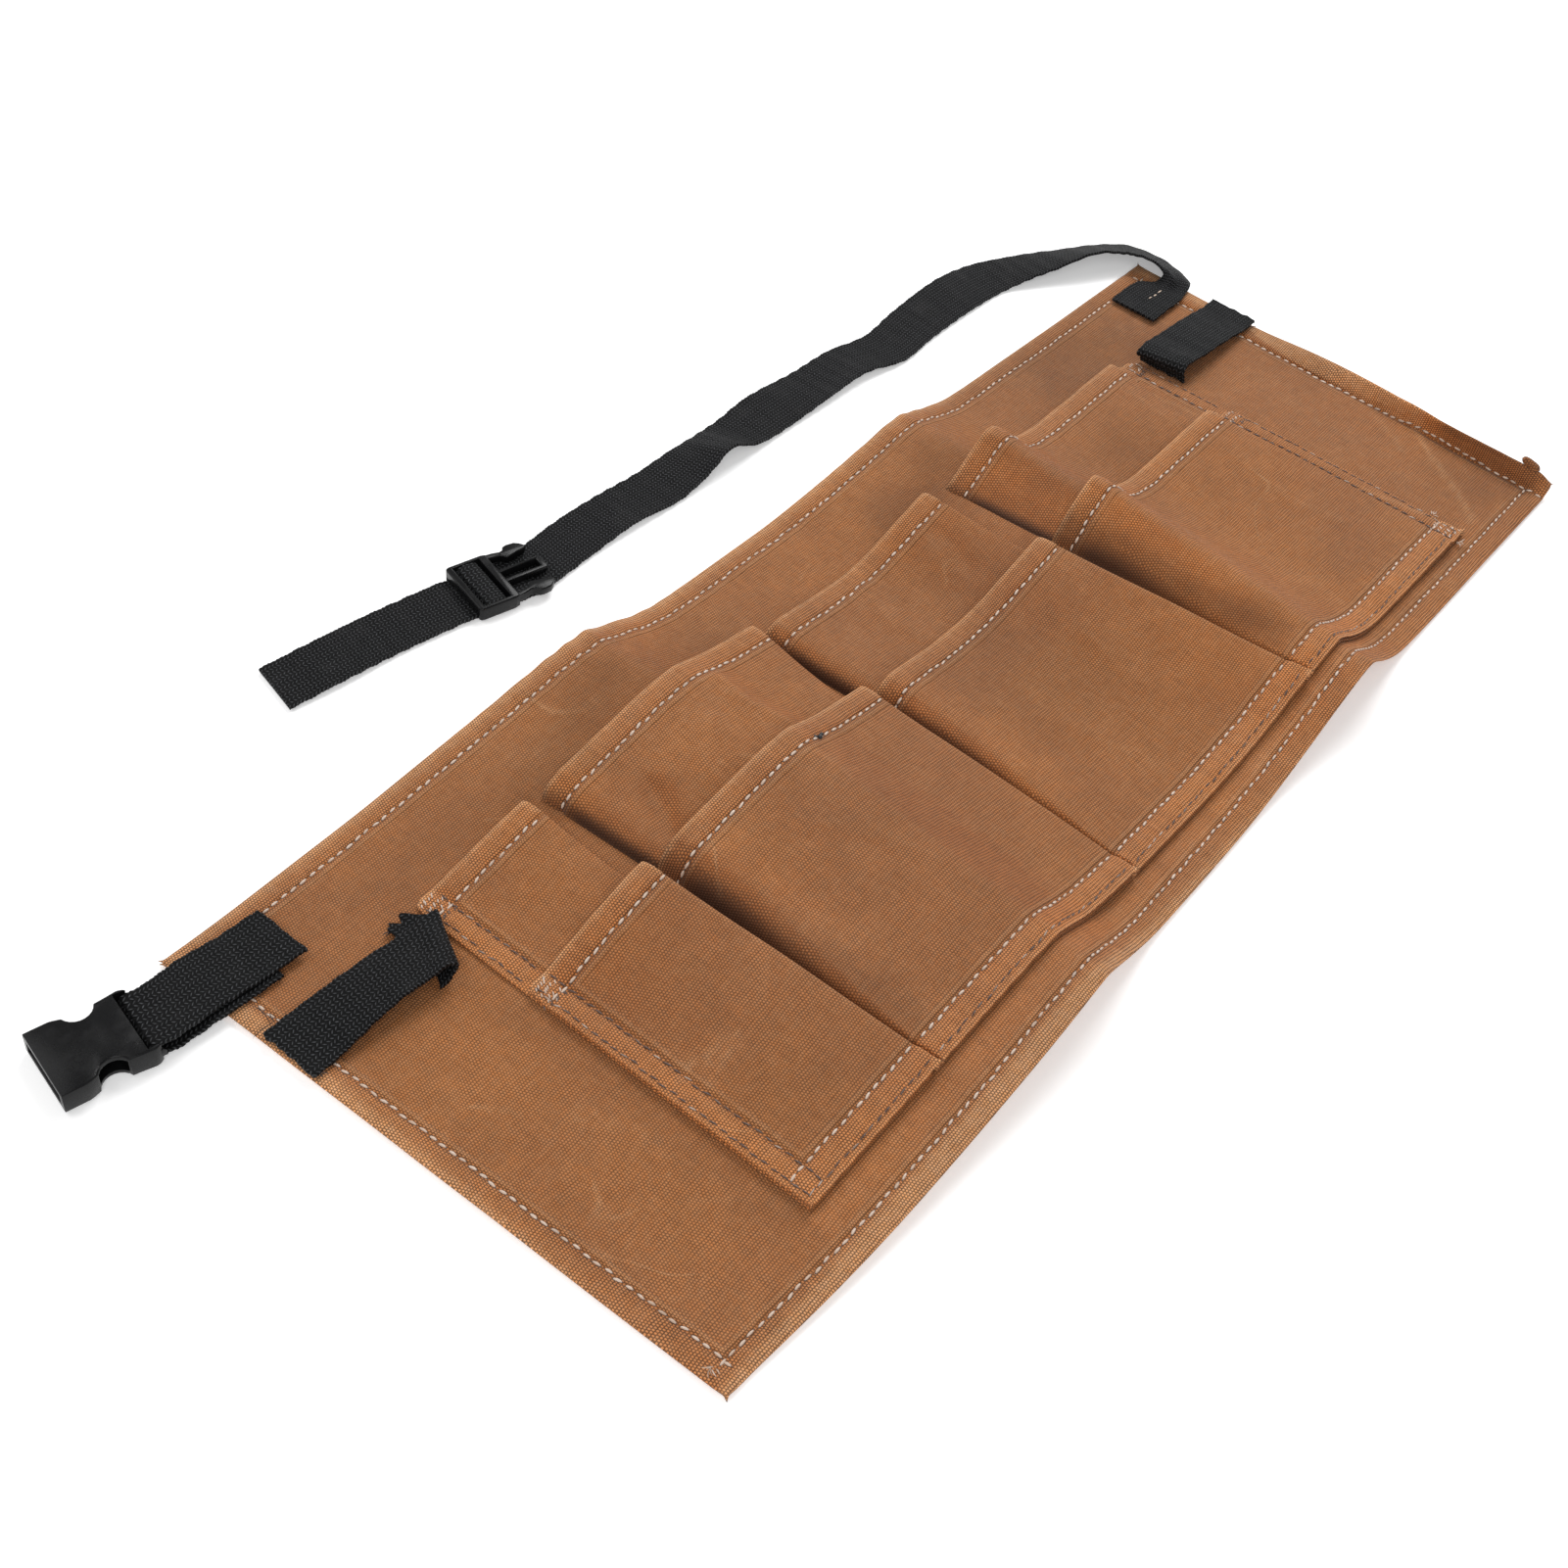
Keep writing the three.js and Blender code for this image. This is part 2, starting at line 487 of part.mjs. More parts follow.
// Long waist strap from its patch, round the turn and along beside the waist edge: along
// is a share of the half width of the panel, out is the distance beyond the waist edge
// and lift the height of its middle, both in webbing widths. Turn is the plan angle of
// its width direction, and tilt is how far that edge is raised. Width is the share of the
// webbing that lies open where its inner edge puckers in the turn.
const LONG_STRAP = [
  { along: 0.871, out: -0.94, lift: 0.15, turn: -90, tilt: 0 },
  { along: 0.925, out: -0.94, lift: 0.155, turn: -88, tilt: 0 },
  { along: 0.947, out: -0.97, lift: 0.165, turn: -82, tilt: -2, width: 0.94 },
  { along: 0.967, out: -1.08, lift: 0.195, turn: -73, tilt: -9, width: 0.64 },
  { along: 0.984, out: -1.07, lift: 0.26, turn: -53, tilt: -21, width: 0.64 },
  { along: 0.995, out: -0.94, lift: 0.28, turn: -34, tilt: -29, width: 0.84 },
  { along: 1.003, out: -0.62, lift: 0.29, turn: -18, tilt: -29, width: 0.97 },
  { along: 1.0087, out: -0.32, lift: 0.27, turn: -7, tilt: -26.5 },
  { along: 1.0077, out: -0.072, lift: 0.255, turn: 7, tilt: -24.5 },
  { along: 1.0025, out: 0.22, lift: 0.245, turn: 27, tilt: -23 },
  { along: 0.986, out: 0.43, lift: 0.25, turn: 45, tilt: -24 },
  { along: 0.952, out: 0.7, lift: 0.29, turn: 57, tilt: -27 },
  { along: 0.917, out: 0.93, lift: 0.27, turn: 63, tilt: -25 },
  { along: 0.871, out: 1.25, lift: 0.18, turn: 68, tilt: -15 },
  { along: 0.832, out: 1.5, lift: 0.12, turn: 72, tilt: -9 },
  { along: 0.78, out: 1.77, lift: 0.05, turn: 82, tilt: 1 },
  { along: 0.69, out: 1.84, lift: 0.12, turn: 89, tilt: 9 },
  { along: 0.58, out: 1.83, lift: 0.07, turn: 92, tilt: 4 },
  { along: 0.5, out: 1.76, lift: 0.045, turn: 90, tilt: 0 },
  { along: 0.425, out: 1.94, lift: 0.1, turn: 87, tilt: -6 },
  { along: 0.34, out: 1.97, lift: 0.09, turn: 89, tilt: -4 },
  { along: 0.235, out: 1.99, lift: 0.11, turn: 90, tilt: 7 },
  { along: 0.17, out: 2, lift: 0.09, turn: 90, tilt: -5 },
  { along: 0.115, out: 2.02, lift: 0.22, turn: 90, tilt: -20 },
  { along: 0.06, out: 2.02, lift: 0.1, turn: 90, tilt: -6 },
  { along: 0, out: 2.01, lift: 0.045, turn: 90, tilt: 0 },
  { along: -0.08, out: 2.08, lift: 0.08, turn: 88, tilt: -4 },
  { along: -0.16, out: 2.1, lift: 0.045, turn: 87, tilt: 0 },
];

// The sliding half of the buckle rides near the free end of the long strap.
const FRAME_PLACE = { along: -0.355, out: 2.32, heading: -14.8 };
const FREE_END = { along: -0.634, out: 2.87, heading: -13.5 };

// Webbing through the sliding frame: place along the frame from its end bar, and height
// of the webbing's middle above the surface.
const THREADING = [
  { along: FRAME_LENGTH + 12, height: 1.15 },
  { along: FRAME_LENGTH + 2, height: 1.15 },
  { along: FRAME_LENGTH - 1.6, height: 1.25 },
  { along: FRAME_LENGTH - 3.2, height: 1.6 },
  { along: FRAME_LENGTH - 4.1, height: 2.9 },
  { along: FRAME_LENGTH - 4.9, height: 4.7 },
  { along: FRAME_LENGTH - 6.6, height: 5.6 },
  { along: BAR_WIDTH + 4.6, height: 5.6 },
  { along: BAR_WIDTH + 2.6, height: 4.7 },
  { along: BAR_WIDTH + 1.8, height: 2.9 },
  { along: BAR_WIDTH + 0.5, height: 1.5 },
  { along: -1, height: 1.2 },
  { along: -8, height: 1.15 },
];

function frameOrigin() {
  return new THREE.Vector3(
    FRAME_PLACE.along * HALF_WAIST, WAIST_Y + FRAME_PLACE.out * WEBBING_WIDTH, 0);
}

function longStrap() {
  const heading = THREE.MathUtils.degToRad(FRAME_PLACE.heading);
  const origin = frameOrigin();
  const loose = LONG_STRAP.map((row) => ({
    x: row.along * HALF_WAIST, y: WAIST_Y + row.out * WEBBING_WIDTH,
    z: row.lift * WEBBING_WIDTH, turn: row.turn, tilt: row.tilt, width: row.width,
  }));
  const threaded = THREADING.map((row) => ({
    x: origin.x + row.along * Math.cos(heading), y: origin.y + row.along * Math.sin(heading),
    z: row.height, turn: 90 + FRAME_PLACE.heading, tilt: 0,
  }));
  const end = { x: FREE_END.along * HALF_WAIST, y: WAIST_Y + FREE_END.out * WEBBING_WIDTH };
  const last = threaded[threaded.length - 1];
  const tail = [0.35, 0.7, 1].map((share, k) => ({
    x: THREE.MathUtils.lerp(last.x, end.x, share),
    y: THREE.MathUtils.lerp(last.y, end.y, share) + (k === 0 ? 1 : 0),
    z: WEBBING / 2 + (k === 1 ? 1.2 : 0.3),
    turn: 90 + FREE_END.heading, tilt: 0,
  }));
  return named('long_strap', ribbonGeometry([
    ...smoothStations([...loose, threaded[0]], STRAP_STEP).slice(0, -1),
    ...smoothStations(threaded, 2.2).slice(0, -1),
    ...smoothStations([last, ...tail], STRAP_STEP),
  ]), WEBBING_BLACK);
}

// Buckle parts are outlines drawn in plan and raised between two heights

function solidFrom(geometry) {
  const bare = geometry.clone();
  bare.deleteAttribute('normal');
  bare.deleteAttribute('uv');
  const merged = mergeVertices(bare, 1e-4);
  return new wasm.Manifold(new wasm.Mesh({
    numProp: 3,
    vertProperties: new Float32Array(merged.attributes.position.array),
    triVerts: new Uint32Array(merged.index.array),
  }));
}

function geometryFrom(solid) {
  const mesh = solid.getMesh();
  const geometry = new THREE.BufferGeometry();
  geometry.setAttribute('position', new THREE.BufferAttribute(new Float32Array(mesh.vertProperties), 3));
  geometry.setIndex(new THREE.BufferAttribute(new Uint32Array(mesh.triVerts), 1));
  return geometry;
}

function raised(shape, low, high, edge = 0) {
  const geometry = new THREE.ExtrudeGeometry(shape, {
    depth: high - low - 2 * edge, bevelEnabled: edge > 0, bevelThickness: edge, bevelSize: edge,
    bevelOffset: -edge, bevelSegments: 2, curveSegments: 6,
  });
  geometry.translate(0, 0, low + edge);
  return solidFrom(geometry);
}

function block(lowX, highX, lowY, highY, lowZ, highZ) {
  const geometry = new THREE.BoxGeometry(highX - lowX, highY - lowY, highZ - lowZ);
  geometry.translate((lowX + highX) / 2, (lowY + highY) / 2, (lowZ + highZ) / 2);
  return solidFrom(geometry);
}

function mirroredShape(half) {
  const shape = new THREE.Shape();
  half.forEach(([x, y], k) => (k === 0 ? shape.moveTo(x, y) : shape.lineTo(x, y)));
  [...half].reverse().forEach(([x, y]) => shape.lineTo(x, -y));
  shape.closePath();
  return shape;
}

function arcPoints(cx, cy, radius, from, to, steps) {
  return Array.from({ length: steps + 1 }, (_, k) => {
    const angle = THREE.MathUtils.degToRad(THREE.MathUtils.lerp(from, to, k / steps));
    return [cx + radius * Math.cos(angle), cy + radius * Math.sin(angle)];
  });
}

const SLOT_HALF = WEBBING_WIDTH / 2 + SIDE_PLAY;

// Socket half of the buckle: x from the strap bar to the mouth, y across, z up.
function socketGeometry() {
  const lobe = 4.2;
  const half = SOCKET_WIDTH / 2;
  const waist = 0.47 * SOCKET_LENGTH;
  const notch = 0.17 * SOCKET_LENGTH;
  const outline = mirroredShape([
    ...arcPoints(lobe - 1.5, half - lobe - 0.4, lobe, 180, 90, 6),
    [0.24 * SOCKET_LENGTH, half - 1],
    ...arcPoints(waist, half + 0.8, notch, 200, 340, 9),
    [0.71 * SOCKET_LENGTH, half - 0.3],
    [0.75 * SOCKET_LENGTH, half],
    [SOCKET_LENGTH, half],
  ]);
  const bar = new THREE.CylinderGeometry(SOCKET_BAR, SOCKET_BAR, 2 * SLOT_HALF + 1.2, 14);
  bar.translate(0, 0, SOCKET_THICKNESS / 2);
  return geometryFrom(raised(outline, 0, SOCKET_THICKNESS, BUCKLE_EDGE)
    .subtract(block(0.25 * SOCKET_LENGTH, SOCKET_LENGTH + 1, SOCKET_WALL - half, half - SOCKET_WALL,
      SOCKET_WALL, SOCKET_THICKNESS - SOCKET_WALL))
    .subtract(block(-4, SOCKET_BAR + 2.7, -SLOT_HALF, SLOT_HALF, -1, SOCKET_THICKNESS + 1))
    .add(solidFrom(bar)));
}

const SOCKET_PLACE = { along: -1.0668, drop: 18, heading: 167 };

function socketOrigin() {
  return new THREE.Vector3(SOCKET_PLACE.along * HALF_WAIST, WAIST_Y - SOCKET_PLACE.drop, 0);
}

function femaleBuckle() {
  const mesh = named('female_buckle', socketGeometry(), BUCKLE_BLACK);
  mesh.position.copy(socketOrigin());
  mesh.rotation.z = THREE.MathUtils.degToRad(SOCKET_PLACE.heading);
  return mesh;
}

// Short strap: from its cut end over the corner patch to the socket, round the bar and
// back beneath itself onto the panel.
function shortStrap() {
  const origin = socketOrigin();
  const heading = THREE.MathUtils.degToRad(SOCKET_PLACE.heading);
  const barZ = SOCKET_THICKNESS / 2;
  const reach = SOCKET_BAR + GAP + WEBBING / 2;
  const turn = SOCKET_PLACE.heading - 90;
  const seat = panelTop(-HALF_WAIST + 36, PATCH_Y) + HEM_FOLD + GAP + WEBBING / 2;
  const patchX = -HALF_WAIST + 36;
  const edgeX = -HALF_WAIST - 1;
  const onAxis = (along, z) => ({
    x: origin.x + along * Math.cos(heading), y: origin.y + along * Math.sin(heading), z, turn, tilt: 0,
  });
  const upper = seat + WEBBING + GAP;
  const loose = [
    { x: patchX, y: PATCH_Y + 1.2, z: upper, turn: 90, tilt: 0 },
    { x: patchX - 20, y: PATCH_Y + 2.2, z: upper, turn: 87, tilt: 0 },
    { x: edgeX + 4, y: PATCH_Y + 3.2, z: upper + 0.9, turn: 84, tilt: 1 },
    onAxis(-6, barZ + reach + 0.4),
    onAxis(-0.6, barZ + reach),
  ];
  const wrap = [60, 30, 0, -30, -60].map((angle) => {
    const a = THREE.MathUtils.degToRad(angle);
    return onAxis(reach * Math.cos(a), barZ + reach * Math.sin(a));
  });
  const under = [
    onAxis(-0.6, barZ - reach),
    onAxis(-7, barZ - reach + 0.2),
    { x: edgeX - 1, y: PATCH_Y + 1, z: seat + 0.1, turn: 83, tilt: 0 },
    { x: edgeX + 8, y: PATCH_Y + 0.4, z: seat, turn: 86, tilt: 0 },
    { x: patchX - 12, y: PATCH_Y - 0.4, z: seat, turn: 90, tilt: 0 },
  ];
  return named('short_strap', ribbonGeometry([
    ...smoothStations(loose, STRAP_STEP).slice(0, -1),
    ...smoothStations([loose[loose.length - 1], ...wrap, under[0]], 1.2).slice(0, -1),
    ...smoothStations(under, STRAP_STEP),
  ]), WEBBING_BLACK);
}

// Sliding frame with its guide and the two side prongs: x from the end bar to the tips.
function frameGeometry() {
  const inside = SLOT_HALF;
  const outside = inside + RAIL_WIDTH;
  const top = FRAME_THICKNESS;
  const reach = FRAME_LENGTH + PRONG_LENGTH;
  const outline = mirroredShape([
    [0, outside - 1.4], [0.5, outside - 0.4], [1.6, outside], [FRAME_LENGTH - 1, outside], [FRAME_LENGTH + 1, outside - 0.6],
  ]);
  const window = block(BAR_WIDTH, FRAME_LENGTH - BAR_WIDTH, -inside, inside, -1, top + 1);
  const below = block(-1, FRAME_LENGTH + 2, -inside, inside, -1, 2.9);
  const middle = block(BAR_WIDTH + 4, FRAME_LENGTH - BAR_WIDTH - 4.4, -inside - 0.6, inside + 0.6, 2.6, 4.4);
  const prong = [
    [FRAME_LENGTH - 1, outside - 0.3], [FRAME_LENGTH + 4, outside - 0.8], [FRAME_LENGTH + 7, outside - 1.6],
    [FRAME_LENGTH + 8.6, outside - 1.2], [FRAME_LENGTH + 9.6, outside + 0.4], [FRAME_LENGTH + 11.5, outside + 0.9],
    [FRAME_LENGTH + 15, outside + 0.6], [reach - 1.6, outside - 0.8],
    [reach, outside - 3], [reach - 1.2, outside - 4.2], [FRAME_LENGTH + 13.5, outside - 4.8],
    [FRAME_LENGTH + 8.5, outside - 6], [FRAME_LENGTH + 6.2, outside - 3.6], [FRAME_LENGTH - 1, outside - 2.8],
  ];
  const side = (sign) => {
    const shape = new THREE.Shape();
    prong.forEach(([x, y], k) => (k === 0 ? shape.moveTo(x, sign * y) : shape.lineTo(x, sign * y)));
    shape.closePath();
    return raised(shape, 2.4, top - 0.4, 0.5);
  };
  const guide = mirroredShape([
    [FRAME_LENGTH - 0.8, 3.9], ...arcPoints(reach + 0.6, 2.4, 1.4, 90, 0, 4),
  ]);
  const guideHole = block(FRAME_LENGTH + 0.4, reach - 0.4, -2.2, 2.2, -1, top);
  return geometryFrom(raised(outline, 0, top, BUCKLE_EDGE)
    .subtract(window).subtract(below).add(middle)
    .add(raised(guide, 2.4, top - 0.9, 0.4).subtract(guideHole))
    .add(side(1)).add(side(-1)));
}

function maleBuckle() {
  const mesh = named('male_buckle', frameGeometry(), BUCKLE_BLACK);
  mesh.position.copy(frameOrigin());
  mesh.rotation.z = THREE.MathUtils.degToRad(FRAME_PLACE.heading);
  return mesh;
}

const group = new THREE.Group();
group.name = 'tool_belt';
group.add(backingPanel());
POCKETS.forEach((pocket) => group.add(pocketMesh(pocket)));
group.add(
  longStrap(), maleBuckle(), shortStrap(), femaleBuckle(),
  toolLoop('left_loop', -1, LEFT_LOOP), toolLoop('right_loop', 1, RIGHT_LOOP),
);
group.updateMatrixWorld(true);

export default group;
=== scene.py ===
"""Waxed canvas tool belt laid open on its back, dressed over its solids.

Millimetres in the tables, metres in the meshes: +X runs along the belt towards the end
with the long strap, +Y towards the waist edge and +Z up from the floor.
"""
import logging
import math
from contextlib import contextmanager
from dataclasses import dataclass, field
from enum import Enum
from typing import Iterator, Sequence

import bpy
import numpy as np
from mathutils import Matrix, Vector
from mathutils.bvhtree import BVHTree


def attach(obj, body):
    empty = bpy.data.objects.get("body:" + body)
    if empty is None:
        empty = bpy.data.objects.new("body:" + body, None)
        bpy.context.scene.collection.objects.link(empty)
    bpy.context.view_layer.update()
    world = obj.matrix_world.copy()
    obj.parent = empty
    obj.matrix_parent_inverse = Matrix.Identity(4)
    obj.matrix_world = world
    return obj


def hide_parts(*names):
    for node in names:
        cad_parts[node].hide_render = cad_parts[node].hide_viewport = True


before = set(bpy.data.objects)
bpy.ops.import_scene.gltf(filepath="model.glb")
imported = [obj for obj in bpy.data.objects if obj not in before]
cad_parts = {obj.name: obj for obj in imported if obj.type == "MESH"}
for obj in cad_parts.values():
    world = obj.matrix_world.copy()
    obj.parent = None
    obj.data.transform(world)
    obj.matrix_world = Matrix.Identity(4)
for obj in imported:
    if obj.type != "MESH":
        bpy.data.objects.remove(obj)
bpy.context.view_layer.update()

LOG = logging.getLogger("tool_belt")
MM = 0.001

Object = bpy.types.Object
Material = bpy.types.Material
Node = bpy.types.Node
NodeTree = bpy.types.NodeTree
Socket = bpy.types.NodeSocket
Array = np.ndarray
Faces = list[tuple[int, ...]]


# Panel and pocket sizes that the seams, hems and wear follow

PANEL_WAIST_WIDTH = 620.0
PANEL_LOWER_WIDTH = 603.0
PANEL_HEIGHT = 242.0
HEM_WIDTH = 10.0
BLOCK_HALF = 237.0
SEAT_Y = -102.0
FRONT_MOUTH_Y = 23.0
BACK_MOUTH_Y = 77.0
MOUTH_HEM = 11.0
SEAMS = (-237.0, -168.5, -41.0, 84.0, 237.0)
SEAM_LEAN = 10.0
CANVAS = 1.4
HEM_FOLD = 0.8
HALF_WAIST = PANEL_WAIST_WIDTH / 2
WAIST_Y = PANEL_HEIGHT / 2
LOWER_Y = -PANEL_HEIGHT / 2
WEBBING_WIDTH = 25.0
WEBBING = 1.5

# The panel's two standing fold lines: place in thirds of its width, height at the waist
# and at the lower edge, and reach to the left and to the right in thirds
THIRD = PANEL_WAIST_WIDTH / 3
FOLDS = ((-0.5, 15, 18, 0.88, 0.24), (0.5, 11, 22, 0.43, 0.23))

# Rows of stitches: distance of each from the edge beside it
HEM_ROW = HEM_WIDTH - 0.6
MOUTH_ROW = MOUTH_HEM - 0.8
SEAT_ROWS = (3.4, 11.4)
LEFT_END_ROWS = (2.8, 9.8)
RIGHT_END_ROWS = (2.8, 10.0)
GREY_WIDTH = 0.62


class Thread(Enum):
    """The colours of thread and loose yarn."""

    PALE = 0.0
    GREY = 1.0
    DARK = 2.0


# Small helpers on objects and meshes


def select_only(*objects: Object) -> None:
    """Select these objects alone and make the first one active.

    Args:
        objects: The objects to select.
    """
    bpy.ops.object.select_all(action="DESELECT")
    for each in objects:
        each.select_set(True)
    bpy.context.view_layer.objects.active = objects[0]


@contextmanager
def editing(obj: Object) -> Iterator[None]:
    """Hold an object in edit mode with all of its mesh selected.

    Args:
        obj: The mesh object to edit.
    """
    select_only(obj)
    bpy.ops.object.mode_set(mode="EDIT")
    bpy.ops.mesh.select_all(action="SELECT")
    try:
        yield
    finally:
        bpy.ops.object.mode_set(mode="OBJECT")


def merged_copy(node: str, name: str) -> Object:
    """Copy a solid and join its loose triangles into faces with shared corners.

    Args:
        node: Name of the solid.
        name: Name of the new object.

    Returns:
        The new object, in the place of the solid.
    """
    obj = bpy.data.objects.new(name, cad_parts[node].data.copy())
    bpy.context.collection.objects.link(obj)
    obj.data.name = name
    obj.data.materials.clear()
    with editing(obj):
        bpy.ops.mesh.remove_doubles(threshold=2e-6)
        bpy.ops.mesh.tris_convert_to_quads(face_threshold=math.pi, shape_threshold=math.pi)
    return obj


def apply(obj: Object, kind: str, **settings: object) -> None:
    """Add a modifier to an object and apply it.

    Args:
        obj: The object.
        kind: Type of the modifier.
        settings: Its settings.
    """
    modifier = obj.modifiers.new(kind.lower(), kind)
    for key, value in settings.items():
        setattr(modifier, key, value)
    select_only(obj)
    bpy.ops.object.modifier_apply(modifier=modifier.name)


def places(obj: Object) -> Array:
    """Read the corners of a mesh as rows of x, y, z in millimetres."""
    flat = np.empty(3 * len(obj.data.vertices), np.float32)
    obj.data.vertices.foreach_get("co", flat)
    return flat.reshape(-1, 3).astype(float) / MM


def move_to(obj: Object, where: Array) -> None:
    """Write the corners of a mesh from rows of x, y, z in millimetres."""
    obj.data.vertices.foreach_set("co", (where * MM).astype(np.float32).ravel())
    obj.data.update()


def paint(obj: Object, name: str, values: Array) -> None:
    """Store one number for each corner of a mesh under a name that materials read."""
    layer = obj.data.attributes.get(name) or obj.data.attributes.new(name, "FLOAT", "POINT")
    layer.data.foreach_set("value", values.astype(np.float32))


def smooth(obj: Object, degrees: float = 180.0) -> None:
    """Shade a mesh smooth, apart from edges sharper than an angle."""
    select_only(obj)
    if degrees >= 180:
        bpy.ops.object.shade_smooth()
    else:
        bpy.ops.object.shade_smooth_by_angle(angle=math.radians(degrees))


def grid(name: str, columns: int, rows: int) -> Object:
    """Start a flat grid that a sheet is drawn from."""
    bpy.ops.mesh.primitive_grid_add(x_subdivisions=columns, y_subdivisions=rows, size=1)
    obj = bpy.context.object
    obj.name = obj.data.name = name
    return obj


def thicken(obj: Object, thickness: float, rounding: float) -> None:
    """Give a sheet its thickness and round its edges, both in millimetres."""
    apply(obj, "SOLIDIFY", thickness=thickness * MM, offset=0)
    apply(obj, "BEVEL", width=rounding * MM, segments=2, limit_method="ANGLE",
          angle_limit=math.radians(60))


def lay_yarns(obj: Object, plan: Array) -> None:
    """Write where each corner of a mesh lies on the cloth, for the weave to follow.

    Args:
        obj: The mesh object.
        plan: Place across and along the cloth for each corner, in millimetres.
    """
    layer = obj.data.uv_layers.active or obj.data.uv_layers.new()
    layer.name = "along"
    corner = np.empty(len(obj.data.loops), np.int32)
    obj.data.loops.foreach_get("vertex_index", corner)
    layer.data.foreach_set("uv", (plan[corner] * MM).astype(np.float32).ravel())


def joined(name: str, parts: Sequence[Object]) -> Object:
    """Join mesh objects into one.

    Args:
        name: Name of the result.
        parts: The objects to join.

    Returns:
        The joined object.
    """
    select_only(*parts)
    if len(parts) > 1:
        bpy.ops.object.join()
    result = bpy.context.view_layer.objects.active
    result.name = name
    result.data.name = name
    return result


def ripple(x: Array, y: Array, wavelength: float, seed: int, waves: int = 9) -> Array:
    """Soft uneven field over the plan, from seeded waves in many directions.

    Args:
        x: Places along the belt, in millimetres.
        y: Places across the belt, in millimetres.
        wavelength: Middle wavelength, in millimetres.
        seed: Which field to draw.
        waves: How many waves are summed.

    Returns:
        One number for each place, mostly between -1 and 1.
    """
    draw = np.random.default_rng(seed)
    total = np.zeros_like(x)
    for _ in range(waves):
        angle = draw.uniform(0, math.pi)
        length = wavelength * draw.uniform(0.7, 1.6)
        phase = draw.uniform(0, 2 * math.pi)
        total += np.sin((x * math.cos(angle) + y * math.sin(angle)) * 2 * math.pi / length + phase)
    return total / math.sqrt(waves)


def bump_at(distance: Array, width: float) -> Array:
    """Bell shape that is 1 at no distance and fades out over a width."""
    return np.exp(-((distance / width) ** 2))


def eased(share: Array) -> Array:
    """Share from 0 to 1, clamped and eased at both ends."""
    share = np.clip(share, 0, 1)
    return share * share * (3 - 2 * share)


def bead(segments: int, rings: int) -> tuple[Array, Faces]:
    """Model a round bead that lies along x, as the start of a stitch or a yarn.

    Args:
        segments: Faces round it.
        rings: Faces along it.

    Returns:
        Its corners, from -1 to 1 along x, and its faces.
    """
    bpy.ops.mesh.primitive_uv_sphere_add(segments=segments, ring_count=rings, radius=1.0)
    ball = bpy.context.object
    with editing(ball):
        bpy.ops.transform.rotate(value=math.pi / 2, orient_axis="Y", center_override=(0, 0, 0))
        bpy.ops.mesh.normals_make_consistent(inside=False)
    corners = np.array([v.co[:] for v in ball.data.vertices])
    faces = [tuple(p.vertices) for p in ball.data.polygons]
    bpy.data.objects.remove(ball)
    return corners, faces


def mesh_object(name: str, points: Sequence[Array], polygons: Faces) -> Object:
    """Make one object of many small copies.

    Args:
        name: Name of the object.
        points: The corners of each copy, in millimetres.
        polygons: Faces over all of the corners.

    Returns:
        The object.
    """
    mesh = bpy.data.meshes.new(name)
    mesh.from_pydata((np.concatenate(points) * MM).tolist(), [], polygons)
    mesh.update()
    obj = bpy.data.objects.new(name, mesh)
    bpy.context.collection.objects.link(obj)
    return obj


# Shader graphs


